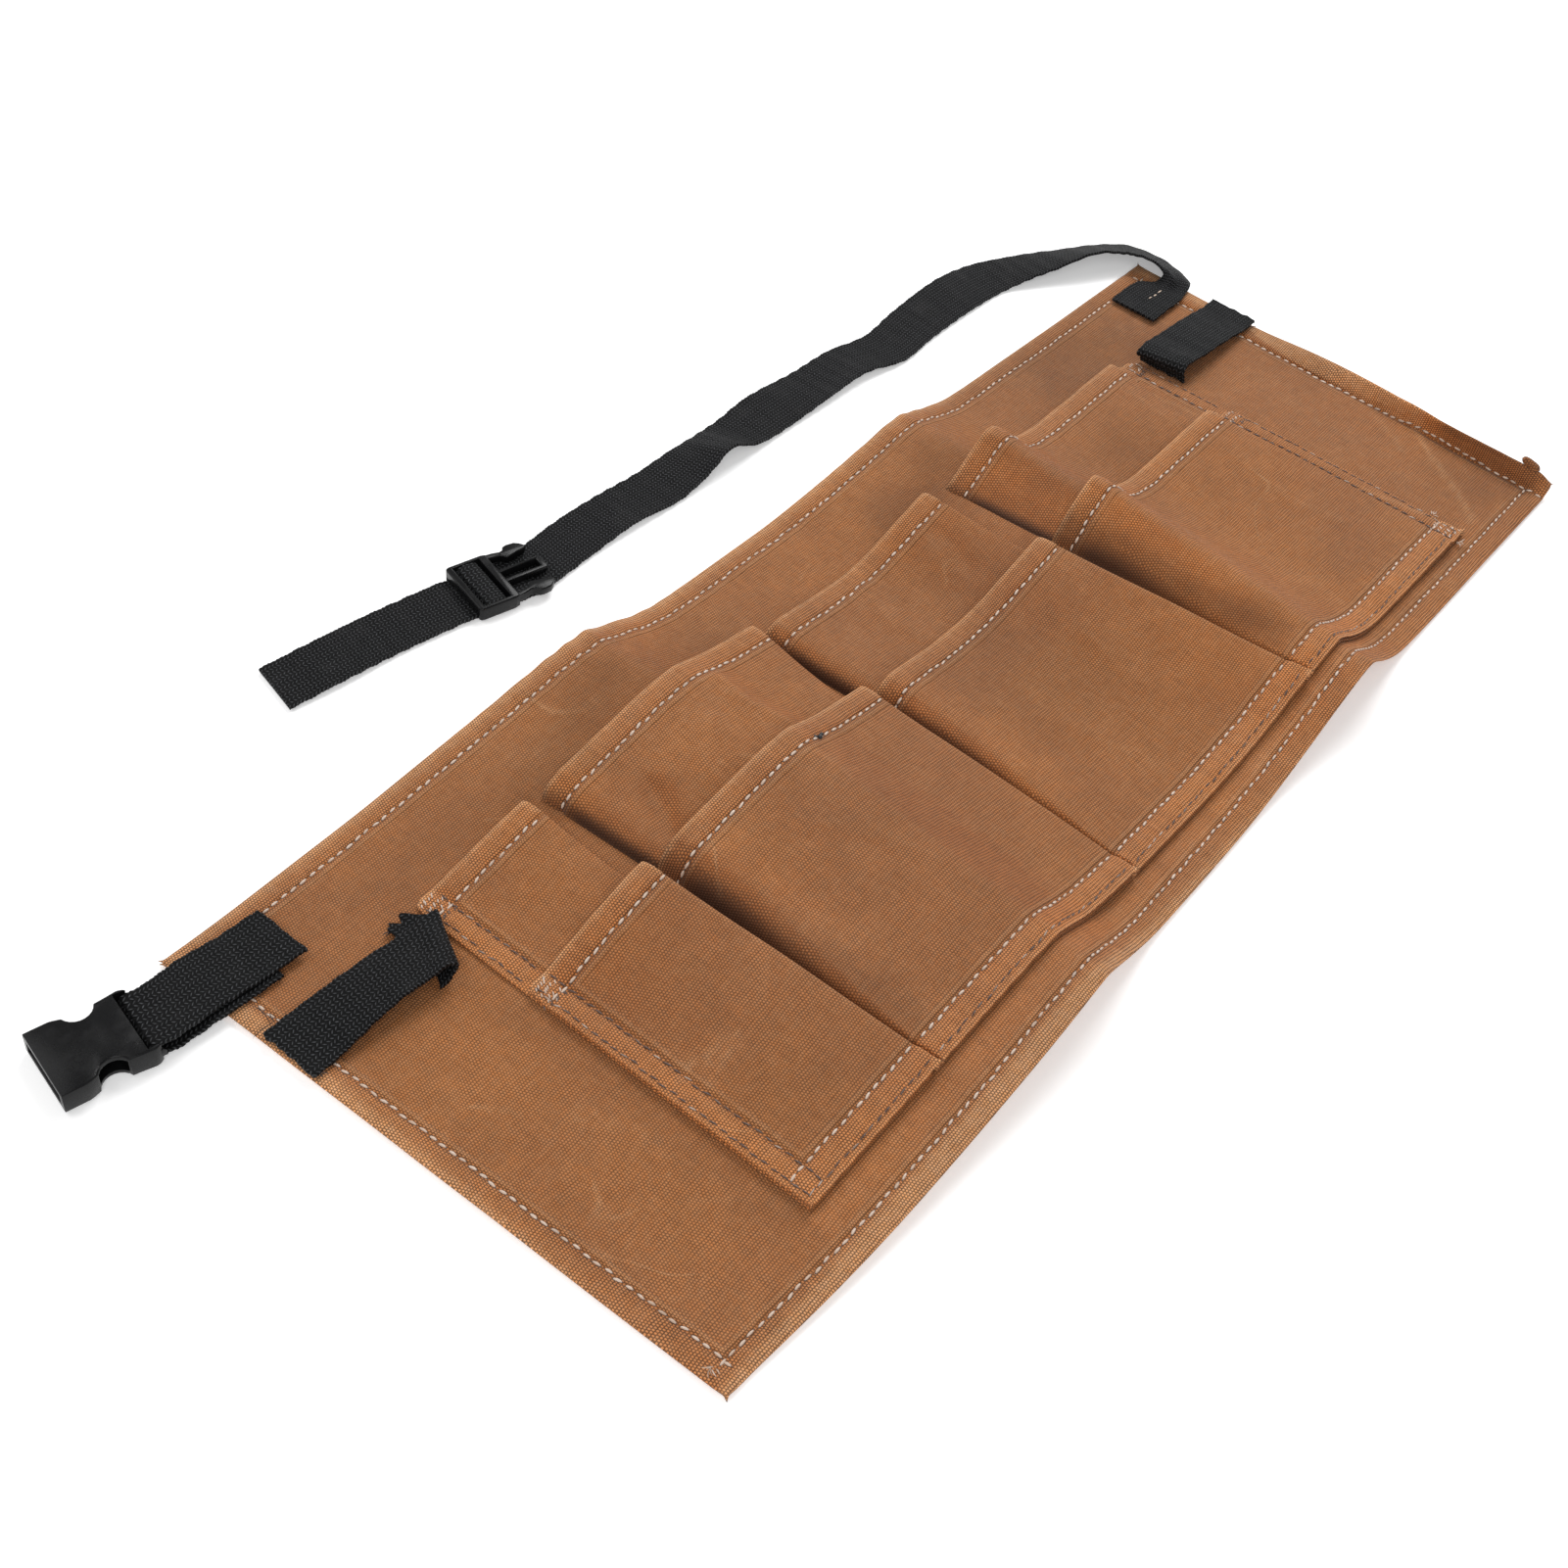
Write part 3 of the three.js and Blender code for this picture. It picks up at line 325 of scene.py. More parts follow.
class Graph:
    """Short calls that add and join the nodes of one shader tree."""

    def __init__(self, tree: NodeTree) -> None:
        """Keep the tree that the calls add to."""
        self.tree = tree

    def add(self, kind: str, **settings: object) -> Node:
        """Add one node with its settings."""
        node = self.tree.nodes.new(kind)
        for key, value in settings.items():
            setattr(node, key, value)
        return node

    def plug(self, node: Node, values: dict[str | int, object]) -> Socket:
        """Join the sockets of a node to others, or set their values.

        Args:
            node: The node.
            values: A socket or a value for each name or number of an input.

        Returns:
            The node's first output, if it has one.
        """
        for key, value in values.items():
            if isinstance(value, Socket):
                self.tree.links.new(value, node.inputs[key])
            elif value is not None:
                node.inputs[key].default_value = value
        return node.outputs[0] if node.outputs else None

    def math(self, operation: str, a: object, b: object = None) -> Socket:
        """Work out one value from one or two."""
        return self.plug(self.add("ShaderNodeMath", operation=operation), {0: a, 1: b})

    def times(self, a: object, b: object) -> Socket:
        """Multiply two values."""
        return self.math("MULTIPLY", a, b)

    def plus(self, a: object, b: object) -> Socket:
        """Add two values."""
        return self.math("ADD", a, b)

    def less(self, a: object, b: object) -> Socket:
        """Take the second value from the first."""
        return self.math("SUBTRACT", a, b)

    def fit(self, value: object, low: object, high: object, to_low: float = 0.0,
            to_high: float = 1.0) -> Socket:
        """Map a range of values smoothly onto another, clamped.

        Args:
            value: The socket to map.
            low: Start of its range.
            high: End of its range.
            to_low: Result at the start.
            to_high: Result at the end.

        Returns:
            The mapped value.
        """
        node = self.add("ShaderNodeMapRange", interpolation_type="SMOOTHSTEP")
        return self.plug(node, {"Value": value, "From Min": low, "From Max": high,
                                "To Min": to_low, "To Max": to_high})

    def mix(self, share: object, first: object, second: object, blend: str = "MIX") -> Socket:
        """Mix two colours by a share.

        Args:
            share: Share of the second colour.
            first: First colour or socket.
            second: Second colour or socket.
            blend: How they blend.

        Returns:
            The mixed colour.
        """
        node = self.add("ShaderNodeMix", data_type="RGBA", blend_type=blend)
        self.plug(node, {0: share, 6: first, 7: second})
        return node.outputs[2]

    def tinted(self, colour: Socket, red: Socket, green: Socket | None = None,
               blue: Socket | None = None) -> Socket:
        """Multiply a colour by one value, or by one for each of its channels."""
        return self.mix(1.0, colour, self.vector(red, green or red, blue or red), "MULTIPLY")

    def noise(self, vector: Socket, scale: object, detail: float = 3.0,
              rough: float = 0.55) -> Socket:
        """Read a noise field at a place.

        Args:
            vector: The place.
            scale: Blotches in a metre.
            detail: Octaves.
            rough: Strength of the finer octaves.

        Returns:
            Its value, about 0.5.
        """
        return self.plug(self.add("ShaderNodeTexNoise"),
                         {"Vector": vector, "Scale": scale, "Detail": detail, "Roughness": rough})

    def split(self, vector: Socket) -> tuple[Socket, ...]:
        """Take a vector apart into x, y and z."""
        node = self.add("ShaderNodeSeparateXYZ")
        self.plug(node, {0: vector})
        return tuple(node.outputs)

    def vector(self, x: object, y: object, z: object = 0.0) -> Socket:
        """Put a vector together from x, y and z."""
        return self.plug(self.add("ShaderNodeCombineXYZ"), {0: x, 1: y, 2: z})

    def place(self) -> Socket:
        """Place on the object, in metres."""
        return self.add("ShaderNodeTexCoord").outputs["Object"]

    def facing(self) -> tuple[Socket, ...]:
        """Direction that the surface faces, as x, y and z."""
        return self.split(self.add("ShaderNodeNewGeometry").outputs["Normal"])

    def attribute(self, name: str) -> Socket:
        """Read a number painted on the mesh."""
        return self.add("ShaderNodeAttribute", attribute_name=name).outputs["Fac"]

    def bump(self, height: Socket, distance: float, strength: float,
             normal: Socket | None = None) -> Socket:
        """Turn a height into a bumped normal.

        Args:
            height: The height field.
            distance: Its depth in metres.
            strength: How much of it shows.
            normal: A bumped normal below it.

        Returns:
            The new normal.
        """
        return self.plug(self.add("ShaderNodeBump"), {"Height": height, "Distance": distance,
                                                      "Strength": strength, "Normal": normal})

    def use(self, group: str, **inputs: object) -> Node:
        """Place a shared node group and plug its inputs by name."""
        node = self.add("ShaderNodeGroup", node_tree=Groups.get(group))
        self.plug(node, inputs)
        return node

    def patches(self, scale: float, low: float, high: float) -> Socket:
        """Share of the place that soft patches cover, from their scale and limits."""
        return self.use("patches", Place=self.place(), Scale=scale, Low=low, High=high).outputs[0]

    def rubbed(self, grain: float) -> Socket:
        """Share of the place that is rubbed, broken up by grain."""
        return self.use("rub", Place=self.place(), Rub=self.attribute("rub"),
                        Grain=grain).outputs[0]


def new_group(name: str, inputs: dict[str, float | None],
              outputs: Sequence[str]) -> tuple[NodeTree, Graph, dict[str, Socket], Node]:
    """Start a shader node group with named sockets.

    Args:
        name: Name of the group.
        inputs: Starting value of each number input, or None for a vector.
        outputs: Names of its number outputs.

    Returns:
        The group, its graph, its inputs by name and its output node.
    """
    tree = bpy.data.node_groups.new(name, "ShaderNodeTree")
    for label, start in inputs.items():
        kind = "NodeSocketVector" if start is None else "NodeSocketFloat"
        socket = tree.interface.new_socket(name=label, in_out="INPUT", socket_type=kind)
        if start is not None:
            socket.default_value = start
    for label in outputs:
        tree.interface.new_socket(name=label, in_out="OUTPUT", socket_type="NodeSocketFloat")
    graph = Graph(tree)
    given = graph.add("NodeGroupInput").outputs
    return tree, graph, {label: given[label] for label in inputs}, graph.add("NodeGroupOutput")


def plain_weave_group() -> NodeTree:
    """Plain weave of thick and thin yarns, one over and one under.

    Returns:
        A group with the height of the cloth and a tone for each yarn.
    """
    tree, g, given, out = new_group("plain_weave", {"Place": None, "Row": 0.00113, "Pick": 0.0005},
                                    ["Height", "Yarn"])
    sway = 0.0011
    x, y, _ = g.split(given["Place"])
    drift = g.times(g.less(g.noise(given["Place"], 120.0, 2.0), 0.5), sway)
    wave_x = g.math("SINE", g.times(g.math("DIVIDE", g.plus(x, drift), given["Pick"]), math.pi))
    wave_y = g.math("SINE", g.times(g.math("DIVIDE", g.less(y, drift), given["Row"]), math.pi))
    ridges = g.plus(g.times(g.math("ABSOLUTE", wave_y), 0.38), 0.30)
    height = g.plus(g.times(g.times(wave_x, wave_y), 0.30), ridges)
    slub_x = g.noise(g.vector(g.times(x, 900.0), g.times(y, 90.0)), 1.0, 1.0)
    slub_y = g.noise(g.vector(g.times(x, 110.0), g.times(y, 880.0)), 1.0, 1.0)
    yarn = g.times(g.plus(slub_x, slub_y), 0.5)
    g.plug(out, {"Height": g.plus(g.times(height, 0.9), g.times(yarn, 0.2)), "Yarn": yarn})
    return tree


def blotch_group() -> NodeTree:
    """Soft uneven patches, such as wax taken up unevenly or dust.

    Returns:
        A group with the share of each place that the patches cover.
    """
    tree, g, given, out = new_group(
        "soft_patches", {"Place": None, "Scale": 12.0, "Low": 0.4, "High": 0.65}, ["Cover"])
    cloud = g.noise(given["Place"], given["Scale"], 5.0, 0.6)
    g.plug(out, {"Cover": g.fit(cloud, given["Low"], given["High"])})
    return tree


def rub_group() -> NodeTree:
    """Wear along edges, painted on the mesh and broken up by grain.

    Returns:
        A group with the share of each place that is rubbed.
    """
    tree, g, given, out = new_group(
        "rubbed_edges", {"Place": None, "Rub": 0.0, "Grain": 260.0}, ["Cover"])
    grain = g.noise(given["Place"], given["Grain"], 4.0, 0.65)
    g.plug(out, {"Cover": g.fit(g.times(given["Rub"], g.plus(grain, 0.45)), 0.12, 0.85)})
    return tree


def webbing_group() -> NodeTree:
    """Narrow woven webbing: short yarns in lanes, slanted one way and then the other.

    Returns:
        A group with the height of the yarns and a tone for each of them.
    """
    tree, g, given, out = new_group(
        "ribbed_webbing", {"Along": None, "Rib": 0.0012, "Lane": 0.0016}, ["Height", "Yarn"])
    slant, wobble = 0.8, 0.55
    across, along, _ = g.split(given["Along"])
    lane = g.math("DIVIDE", g.plus(across, 1.0), given["Lane"])
    within = g.less(g.math("FRACT", lane), 0.5)
    odd = g.less(g.times(g.math("FLOOR", g.math("FLOORED_MODULO", lane, 2.0)), 2.0), 1.0)
    drift = g.times(g.less(g.noise(given["Along"], 160.0, 2.0), 0.5), wobble)
    turn = g.plus(g.math("DIVIDE", along, given["Rib"]), g.times(g.times(within, odd), slant))
    yarn = g.math("SINE", g.times(g.plus(turn, drift), 2 * math.pi))
    side = g.math("COSINE", g.times(within, math.pi))
    height = g.times(g.plus(g.times(yarn, 0.42), 0.5), g.plus(g.times(side, 0.65), 0.35))
    fibre = g.noise(g.vector(g.times(across, 1500.0), g.times(along, 700.0)), 1.0, 2.0)
    g.plug(out, {"Height": height, "Yarn": fibre})
    return tree


class Groups:
    """The shared node groups, built once."""

    _makers = {"weave": plain_weave_group, "patches": blotch_group, "rub": rub_group,
               "webbing": webbing_group}
    _made: dict[str, NodeTree] = {}

    @classmethod
    def get(cls, name: str) -> NodeTree:
        """Find a group by name, and build it the first time.

        Args:
            name: One of weave, patches, rub and webbing.

        Returns:
            The node group.
        """
        if name not in cls._made:
            cls._made[name] = cls._makers[name]()
        return cls._made[name]


def blank_material(name: str) -> tuple[Material, Graph, Node]:
    """Start a material.

    Args:
        name: Name of the material.

    Returns:
        The material, its graph and its Principled shader.
    """
    material = bpy.data.materials.new(name)
    material.use_nodes = True
    shader = material.node_tree.nodes["Principled BSDF"]
    return material, Graph(material.node_tree), shader


def on_cloth(g: Graph) -> Socket:
    """Place on a cloth that lies mostly flat, read along its steep sides as well.

    Args:
        g: Graph of the material.

    Returns:
        Object coordinates with the height taken for x or y where the cloth stands up.
    """
    x, y, z = g.split(g.place())
    nx, ny, nz = g.facing()
    lying = g.math("ABSOLUTE", nz)
    side_x = g.math("GREATER_THAN", g.math("ABSOLUTE", nx), lying)
    side_y = g.math("GREATER_THAN", g.math("ABSOLUTE", ny), lying)
    u = g.plus(x, g.times(side_x, g.less(z, x)))
    v = g.plus(y, g.times(side_y, g.less(z, y)))
    return g.vector(u, v, 0.0)


@dataclass(frozen=True)
class WaxedCanvas:
    """Tan waxed canvas: plain weave, uneven wax, dusty bloom and rubbed edges."""

    body: tuple = (0.345, 0.124, 0.035, 1)
    deep: tuple = (0.275, 0.094, 0.026, 1)
    bloom: tuple = (0.440, 0.215, 0.095, 1)
    rubbed: tuple = (0.500, 0.265, 0.125, 1)
    # duller, lighter colour of faces that point up: partly dry wax, partly painted top light
    dry_and_top_light: tuple = (0.325, 0.150, 0.062, 1)
    # near-black colour of the painted shadow in gaps and hollows
    painted_shadow: tuple = (0.030, 0.010, 0.004, 1)
    row: float = 0.00113
    pick: float = 0.0005
    weave_depth: float = 0.00046
    hem_depth: float = 0.0007
    swell_depth: float = 0.0022

    @staticmethod
    def hem_bands(g: Graph) -> tuple[Socket, Socket, Socket]:
        """Read the hem from the distance to its stitches.

        Args:
            g: Graph of the material.

        Returns:
            Shares of the folded band, of the lip inside the stitches and of their groove.
        """
        hem = g.attribute("hem")
        band = g.fit(hem, -0.7, 0.3, 1.0, 0.0)
        lip = g.times(g.fit(hem, 1.1, 2.2), g.fit(hem, 2.5, 3.8, 1.0, 0.0))
        groove = g.times(g.fit(hem, -1.3, -0.2), g.fit(hem, 0.3, 1.2, 1.0, 0.0))
        return band, lip, groove

    @staticmethod
    def scuffs(g: Graph) -> Socket:
        """Thin broken lines where the wax is scratched."""
        ridge = g.math("ABSOLUTE", g.less(g.noise(g.place(), 11.0, 1.5), 0.5))
        return g.times(g.fit(ridge, 0.0, 0.006, 1.0, 0.0), g.patches(17.0, 0.52, 0.66))

    def dyed(self, g: Graph, wax: Socket, lip: Socket, groove: Socket, scuffs: Socket) -> Socket:
        """Colour of the cloth before its weave.

        Args:
            g: Graph of the material.
            wax: Share of wax taken up.
            lip: Share of the lip inside the hem's stitches.
            groove: Share of the groove along them.
            scuffs: Share of scratched wax.

        Returns:
            The colour.
        """
        # faces that point straight up take the dry colour: partly dry wax, partly painted top light
        tops = g.fit(g.facing()[2], 0.90, 0.995)
        worn = g.math("MAXIMUM", g.rubbed(320.0), g.times(lip, 0.35))
        lines = g.math("MAXIMUM", g.attribute("crease"), g.times(scuffs, 0.5))
        colour = g.mix(wax, self.deep, self.body)
        # the last layer darkens the groove along the stitches: painted shade
        for share, weight, layer in ((tops, 0.34, self.dry_and_top_light),
                                     (g.patches(26.0, 0.47, 0.8), 0.2, self.bloom),
                                     (worn, 0.6, self.rubbed), (lines, 0.6, self.rubbed),
                                     (groove, 0.3, self.deep)):
            colour = g.mix(g.times(share, weight), colour, layer)
        return colour

    def woven(self, g: Graph, colour: Socket, weave: Node, band: Socket) -> Socket:
        """Light and dark of the weave, stronger on the hems, with uneven yarns.

        Args:
            g: Graph of the material.
            colour: Colour of the cloth.
            weave: The weave group in use.
            band: Share of the folded band of a hem.

        Returns:
            The colour.
        """
        lit = g.fit(weave.outputs["Height"], 0.2, 0.92, 0.24, 1.62)
        deeper = g.plus(g.times(band, 0.3), 1.0)
        lit = g.plus(g.times(g.less(lit, 1.0), deeper), 1.0)
        mottle = g.fit(g.noise(g.place(), 55.0, 3.0, 0.6), 0.3, 0.7, 0.955, 1.045)
        colour = g.tinted(colour, g.times(lit, mottle))
        fibre = g.fit(weave.outputs["Yarn"], 0.3, 0.7, 0.95, 1.05)
        hue = g.noise(g.place(), 420.0, 2.0)
        colour = g.tinted(colour, fibre, g.times(fibre, g.fit(hue, 0.3, 0.7, 0.95, 1.05)),
                          g.times(fibre, g.fit(hue, 0.3, 0.7, 0.86, 1.14)))
        # painted light: the cloth is made lighter by the mesh's painted light share
        colour = g.tinted(colour, g.plus(g.times(g.attribute("painted_light"), 0.34), 1.055))
        # painted shadow: the cloth is mixed towards the near-black colour by the mesh's shade share
        return g.mix(g.attribute("shade"), colour, self.painted_shadow)

    def material(self) -> Material:
        """Build the finish.

        Returns:
            The material.
        """
        material, g, shader = blank_material("waxed_canvas")
        weave = g.use("weave", Place=on_cloth(g), Row=self.row, Pick=self.pick)
        wax = g.patches(9.0, 0.36, 0.68)
        band, lip, groove = self.hem_bands(g)
        scuffs = self.scuffs(g)
        hem_height = g.less(g.plus(lip, g.times(scuffs, 0.4)), groove)
        normal = g.bump(g.noise(g.place(), 34.0, 4.0), self.swell_depth, 0.3)
        normal = g.bump(hem_height, self.hem_depth, 0.8, normal)
        g.plug(shader, {
            "Base Color": self.woven(g, self.dyed(g, wax, lip, groove, scuffs), weave, band),
            "Roughness": g.fit(wax, 0.0, 1.0, 0.70, 0.84),
            "Normal": g.bump(weave.outputs["Height"], self.weave_depth, 0.95, normal),
            "Sheen Weight": 0.11, "Sheen Roughness": 0.45, "Sheen Tint": (1.0, 0.86, 0.74, 1),
            "Specular IOR Level": 0.3})
        return material


@dataclass(frozen=True)
class SewingThread:
    """Waxed sewing thread, pale or grey, with painted shade where it dips into the cloth."""

    pale: tuple = (0.660, 0.520, 0.420, 1)
    soiled: tuple = (0.46, 0.29, 0.18, 1)
    # darker colours towards the ends of a stitch, down to the hole: painted shade where the thread
    # dips into the cloth
    between: tuple = (0.115, 0.070, 0.052, 1)
    grey: tuple = (0.085, 0.046, 0.033, 1)
    dark: tuple = (0.006, 0.005, 0.006, 1)
    hole_shadow: tuple = (0.060, 0.028, 0.016, 1)

    def material(self) -> Material:
        """Build the finish.

        Returns:
            The material.
        """
        material, g, shader = blank_material("sewing_thread")
        tint, end = g.attribute("tint"), g.attribute("end")
        soil = g.patches(110.0, 0.4, 0.72)
        colour = g.mix(g.times(soil, 0.6), self.pale, self.soiled)
        # the ends of each stitch darken to the hole: painted shade; the tint picks grey and dark
        # thread
        for share, low, high, layer in ((end, 0.52, 0.68, self.between),
                                        (tint, 0.0, 1.0, self.grey),
                                        (tint, 1.2, 2.0, self.dark), (end, 0.82, 1.0, self.hole_shadow)):
            colour = g.mix(g.fit(share, low, high), colour, layer)
        g.plug(shader, {
            "Base Color": colour, "Roughness": g.fit(soil, 0.0, 1.0, 0.3, 0.6),
            "Normal": g.bump(g.noise(g.place(), 1500.0, 1.0), 0.0003, 0.5), "Sheen Weight": 0.2})
        return material


@dataclass(frozen=True)
class BlackWebbing:
    """Black ribbed polypropylene webbing with a dusty nap."""

    body: tuple = (0.0012, 0.0013, 0.0016, 1)
    # lighter colour on the raised ribs: painted highlight
    rib_highlight: tuple = (0.0590, 0.0610, 0.0650, 1)
    dust: tuple = (0.050, 0.048, 0.048, 1)
    rib: float = 0.0017

    def material(self) -> Material:
        """Build the finish.

        Returns:
            The material.
        """
        material, g, shader = blank_material("black_webbing")
        along = g.add("ShaderNodeUVMap", uv_map="along").outputs[0]
        ribs = g.use("webbing", Along=along, Rib=self.rib)
        height, yarn = ribs.outputs["Height"], ribs.outputs["Yarn"]
        # the raised ribs take the lighter colour: painted highlight
        colour = g.mix(g.fit(height, 0.45, 0.95), self.body, self.rib_highlight)
        colour = g.tinted(colour, g.fit(yarn, 0.3, 0.7, 0.5, 1.4))
        dusty = g.math("MAXIMUM", g.patches(60.0, 0.5, 0.85), g.rubbed(500.0))
        g.plug(shader, {
            "Base Color": g.mix(g.times(dusty, 0.28), colour, self.dust),
            "Roughness": g.fit(yarn, 0.3, 0.7, 0.58, 0.78), "Normal": g.bump(height, 0.00035, 0.9),
            "Sheen Weight": 0.02, "Specular IOR Level": 0.14})
        return material


@dataclass(frozen=True)
class BuckleBlack:
    """Black moulded buckle plastic with a fine spark grain and rubbed edges."""

    body: tuple = (0.0028, 0.0029, 0.0032, 1)
    scuff: tuple = (0.020, 0.020, 0.021, 1)

    def material(self) -> Material:
        """Build the finish.

        Returns:
            The material.
        """
        material, g, shader = blank_material("buckle_plastic")
        haze = g.patches(120.0, 0.45, 0.8)
        colour = g.mix(g.times(haze, 0.25), self.body, self.scuff)
        g.plug(shader, {
            "Base Color": g.mix(g.times(g.rubbed(900.0), 0.6), colour, self.scuff),
            "Roughness": g.fit(haze, 0.0, 1.0, 0.27, 0.42),
            "Normal": g.bump(g.noise(g.place(), 2600.0, 2.0), 0.00008, 0.6),
            "Specular IOR Level": 0.2})
        return material


class Finishes:
    """The materials of the belt, each built once."""

    _made: dict[type, Material] = {}

    @classmethod
    def get(cls, finish: type) -> Material:
        """Find the material of a finish, and build it the first time."""
        if finish not in cls._made:
            cls._made[finish] = finish().material()
        return cls._made[finish]


# Stitches


@dataclass
class StitchRow:
    """One row of stitches, as a line in plan that is laid down on a piece of cloth."""

    line: Sequence[tuple[float, float]]
    thread: Thread = Thread.PALE
    pitch: float = 4.3
    length: float = 4.5
    width: float = 1.06
    wander: float = 0.2
    slant: float = 0.1


@dataclass
class Stitching:
    """Lays rows of stitches on a finished piece of cloth and joins them into one mesh."""

    name: str
    rows: list[StitchRow]
    seed: int = 3
    drop_from: float = 90.0
    step: float = 0.5
    steepest: float = 2.2
    lift: float = 0.12
    soiled_share: float = 0.16
    soiled_tint: float = 0.45

    @staticmethod
    def template() -> tuple[Array, Faces]:
        """Model one stitch: a full bead of thread, thin where it runs on into the cloth.

        Returns:
            Its corners, from -1 to 1 along x, and its faces.
        """
        thin, core, dip, rise = 0.30, 0.58, 0.36, 0.12
        corners, faces = bead(7, 9)
        x = corners[:, 0]
        full = thin + (1 - thin) * np.exp(-((x / core) ** 4))
        girth = full / np.sqrt(np.clip(1 - x**2, 0.02, 1)) * np.clip(1 - x**6, 0.1, 1)
        corners[:, 1] *= 0.5 * girth
        corners[:, 2] = corners[:, 2] * 0.40 * girth - dip * x**2 + rise
        return corners, faces

    def trace(self, row: StitchRow, tree: BVHTree) -> tuple[Array, Array]:
        """Drop a row onto the cloth.

        Args:
            row: The row to lay.
            tree: The cloth's faces.

        Returns:
            Places along the row, and the cloth's normal at each, in millimetres.
        """
        line = np.array(row.line, float)
        reach = np.concatenate([[0], np.cumsum(np.hypot(*np.diff(line, axis=0).T))])
        at = np.arange(0, reach[-1], self.step)
        found, normals = [], []
        for x, y in zip(np.interp(at, reach, line[:, 0]), np.interp(at, reach, line[:, 1])):
            start = Vector((x * MM, y * MM, self.drop_from * MM))
            hit, normal, _, _ = tree.ray_cast(start, Vector((0, 0, -1)))
            if hit is not None:
                found.append(np.array(hit) / MM)
                normals.append(np.array(normal))
        return np.array(found).reshape(-1, 3), np.array(normals).reshape(-1, 3)

    def seats(self, row: StitchRow, path: Array) -> Iterator[int]:
        """Find the places of a path that take a stitch.

        Args:
            row: The row of stitches.
            path: Places along it.

        Yields:
            The number of each place, a pitch apart and where the path makes no jump.
        """
        gaps = np.linalg.norm(np.diff(path, axis=0), axis=1)
        reach = np.concatenate([[0], np.cumsum(gaps)])
        for at in np.arange(row.pitch * 0.6, reach[-1] - row.pitch * 0.4, row.pitch):
            k = int(np.searchsorted(reach, at))
            if 2 <= k <= len(path) - 3 and gaps[k - 2:k + 2].max() <= self.steepest:
                yield k

    @staticmethod
    def axes(path: Array, normals: Array, k: int) -> tuple[Array, Array, Array]:
        """Find the directions at one place of a path.

        Args:
            path: Places along the row.
            normals: The cloth's normal at each.
            k: Number of the place.

        Returns:
            The direction along the row, across it and out of the cloth.
        """
        ahead = path[k + 2] - path[k - 2]
        ahead /= np.linalg.norm(ahead)
        up = normals[k - 2:k + 3].mean(0)
        up -= ahead * up.dot(ahead)
        up /= np.linalg.norm(up)
        return ahead, np.cross(up, ahead), up

    def tint(self, thread: Thread, draw: np.random.Generator) -> float:
        """Colour of one stitch; a few grey ones are soiled between grey and pale."""
        if thread is Thread.DARK:
            return thread.value
        tint = thread.value + draw.normal(0, 0.13)
        if thread is Thread.GREY and draw.random() < self.soiled_share:
            return self.soiled_tint
        return tint

    def build(self, cloth: Object) -> Object | None:
        """Lay every row.

        Args:
            cloth: The finished piece of cloth.

        Returns:
            The stitches as one object, or None if no row met the cloth.
        """
        draw = np.random.default_rng(self.seed)
        tree = BVHTree.FromObject(cloth, bpy.context.evaluated_depsgraph_get())
        corners, faces = self.template()
        points, polygons, tints = [], [], []
        for row in self.rows:
            path, normals = self.trace(row, tree)
            if len(path) < 8:
                continue
            for k in self.seats(row, path):
                ahead, side, up = self.axes(path, normals, k)
                turn = row.slant + draw.normal(0, 0.09)
                ahead, side = (ahead * math.cos(turn) + side * math.sin(turn),
                               side * math.cos(turn) - ahead * math.sin(turn))
                centre = path[k] + side * draw.normal(0, row.wander) + up * self.lift
                shape = corners * [row.length / 2 * draw.uniform(0.9, 1.06),
                                   row.width * draw.uniform(0.88, 1.1),
                                   row.width * draw.uniform(0.9, 1.1)]
                start = len(corners) * len(points)
                polygons += [tuple(i + start for i in face) for face in faces]
                points.append(centre + shape @ np.array([ahead, side, up]))
                tints.append(self.tint(row.thread, draw))
        if not points:
            return None
        obj = mesh_object(self.name, points, polygons)
        paint(obj, "tint", np.repeat(tints, len(corners)))
        # place along each stitch, which the painted shade at its ends follows
        paint(obj, "end", np.tile(np.abs(corners[:, 0]), len(points)))
        obj.data.materials.append(Finishes.get(SewingThread))
        smooth(obj)
        return obj


@dataclass
class Fray:
    """Loose yarn ends that stand out of a cut or worn edge, as one mesh."""

    name: str
    tufts: Sequence[tuple[float, float, float, float, float]]
    thread: Thread
    yarns: int = 7
    thick: float = 0.2
    seed: int = 1

    def build(self) -> Object:
        """Grow the yarns of every tuft: x, y, z, heading in degrees and reach.

        Returns:
            The yarns.
        """
        draw = np.random.default_rng(self.seed)
        corners, faces = bead(5, 8)
        share = (corners[:, 0] + 1) / 2
        points, polygons = [], []
        for x, y, z, heading, reach in self.tufts:
            for _ in range(self.yarns):
                angle = math.radians(heading + draw.normal(0, 32))
                ahead = np.array([math.cos(angle), math.sin(angle), 0])
                side = np.array([-ahead[1], ahead[0], 0])
                long = reach * draw.uniform(0.45, 1.15)
                curl, lift = draw.normal(0, 0.4), draw.uniform(-0.1, 0.45)
                path = np.outer(share * long, ahead) + np.outer(share**2 * long * curl, side)
                path[:, 2] += long * lift * np.sin(share * 2.4)
                base = np.array([x, y, z]) + draw.normal(0, 0.55, 3) * [1, 1, 0.3]
                across = np.outer(corners[:, 1], side) + np.outer(corners[:, 2], [0, 0, 1])
                where = base + path + across * self.thick * draw.uniform(0.7, 1.25)
                where[:, 2] = np.maximum(where[:, 2], 0.05)
                start = len(corners) * len(points)
                polygons += [tuple(i + start for i in face) for face in faces]
                points.append(where)
        obj = mesh_object(self.name, points, polygons)
        uneven = ripple(*np.concatenate(points)[:, :2].T, 3.0, self.seed)
        paint(obj, "tint", self.thread.value + 0.25 * uneven)
        obj.data.materials.append(Finishes.get(SewingThread))
        smooth(obj)
        return obj


# Canvas


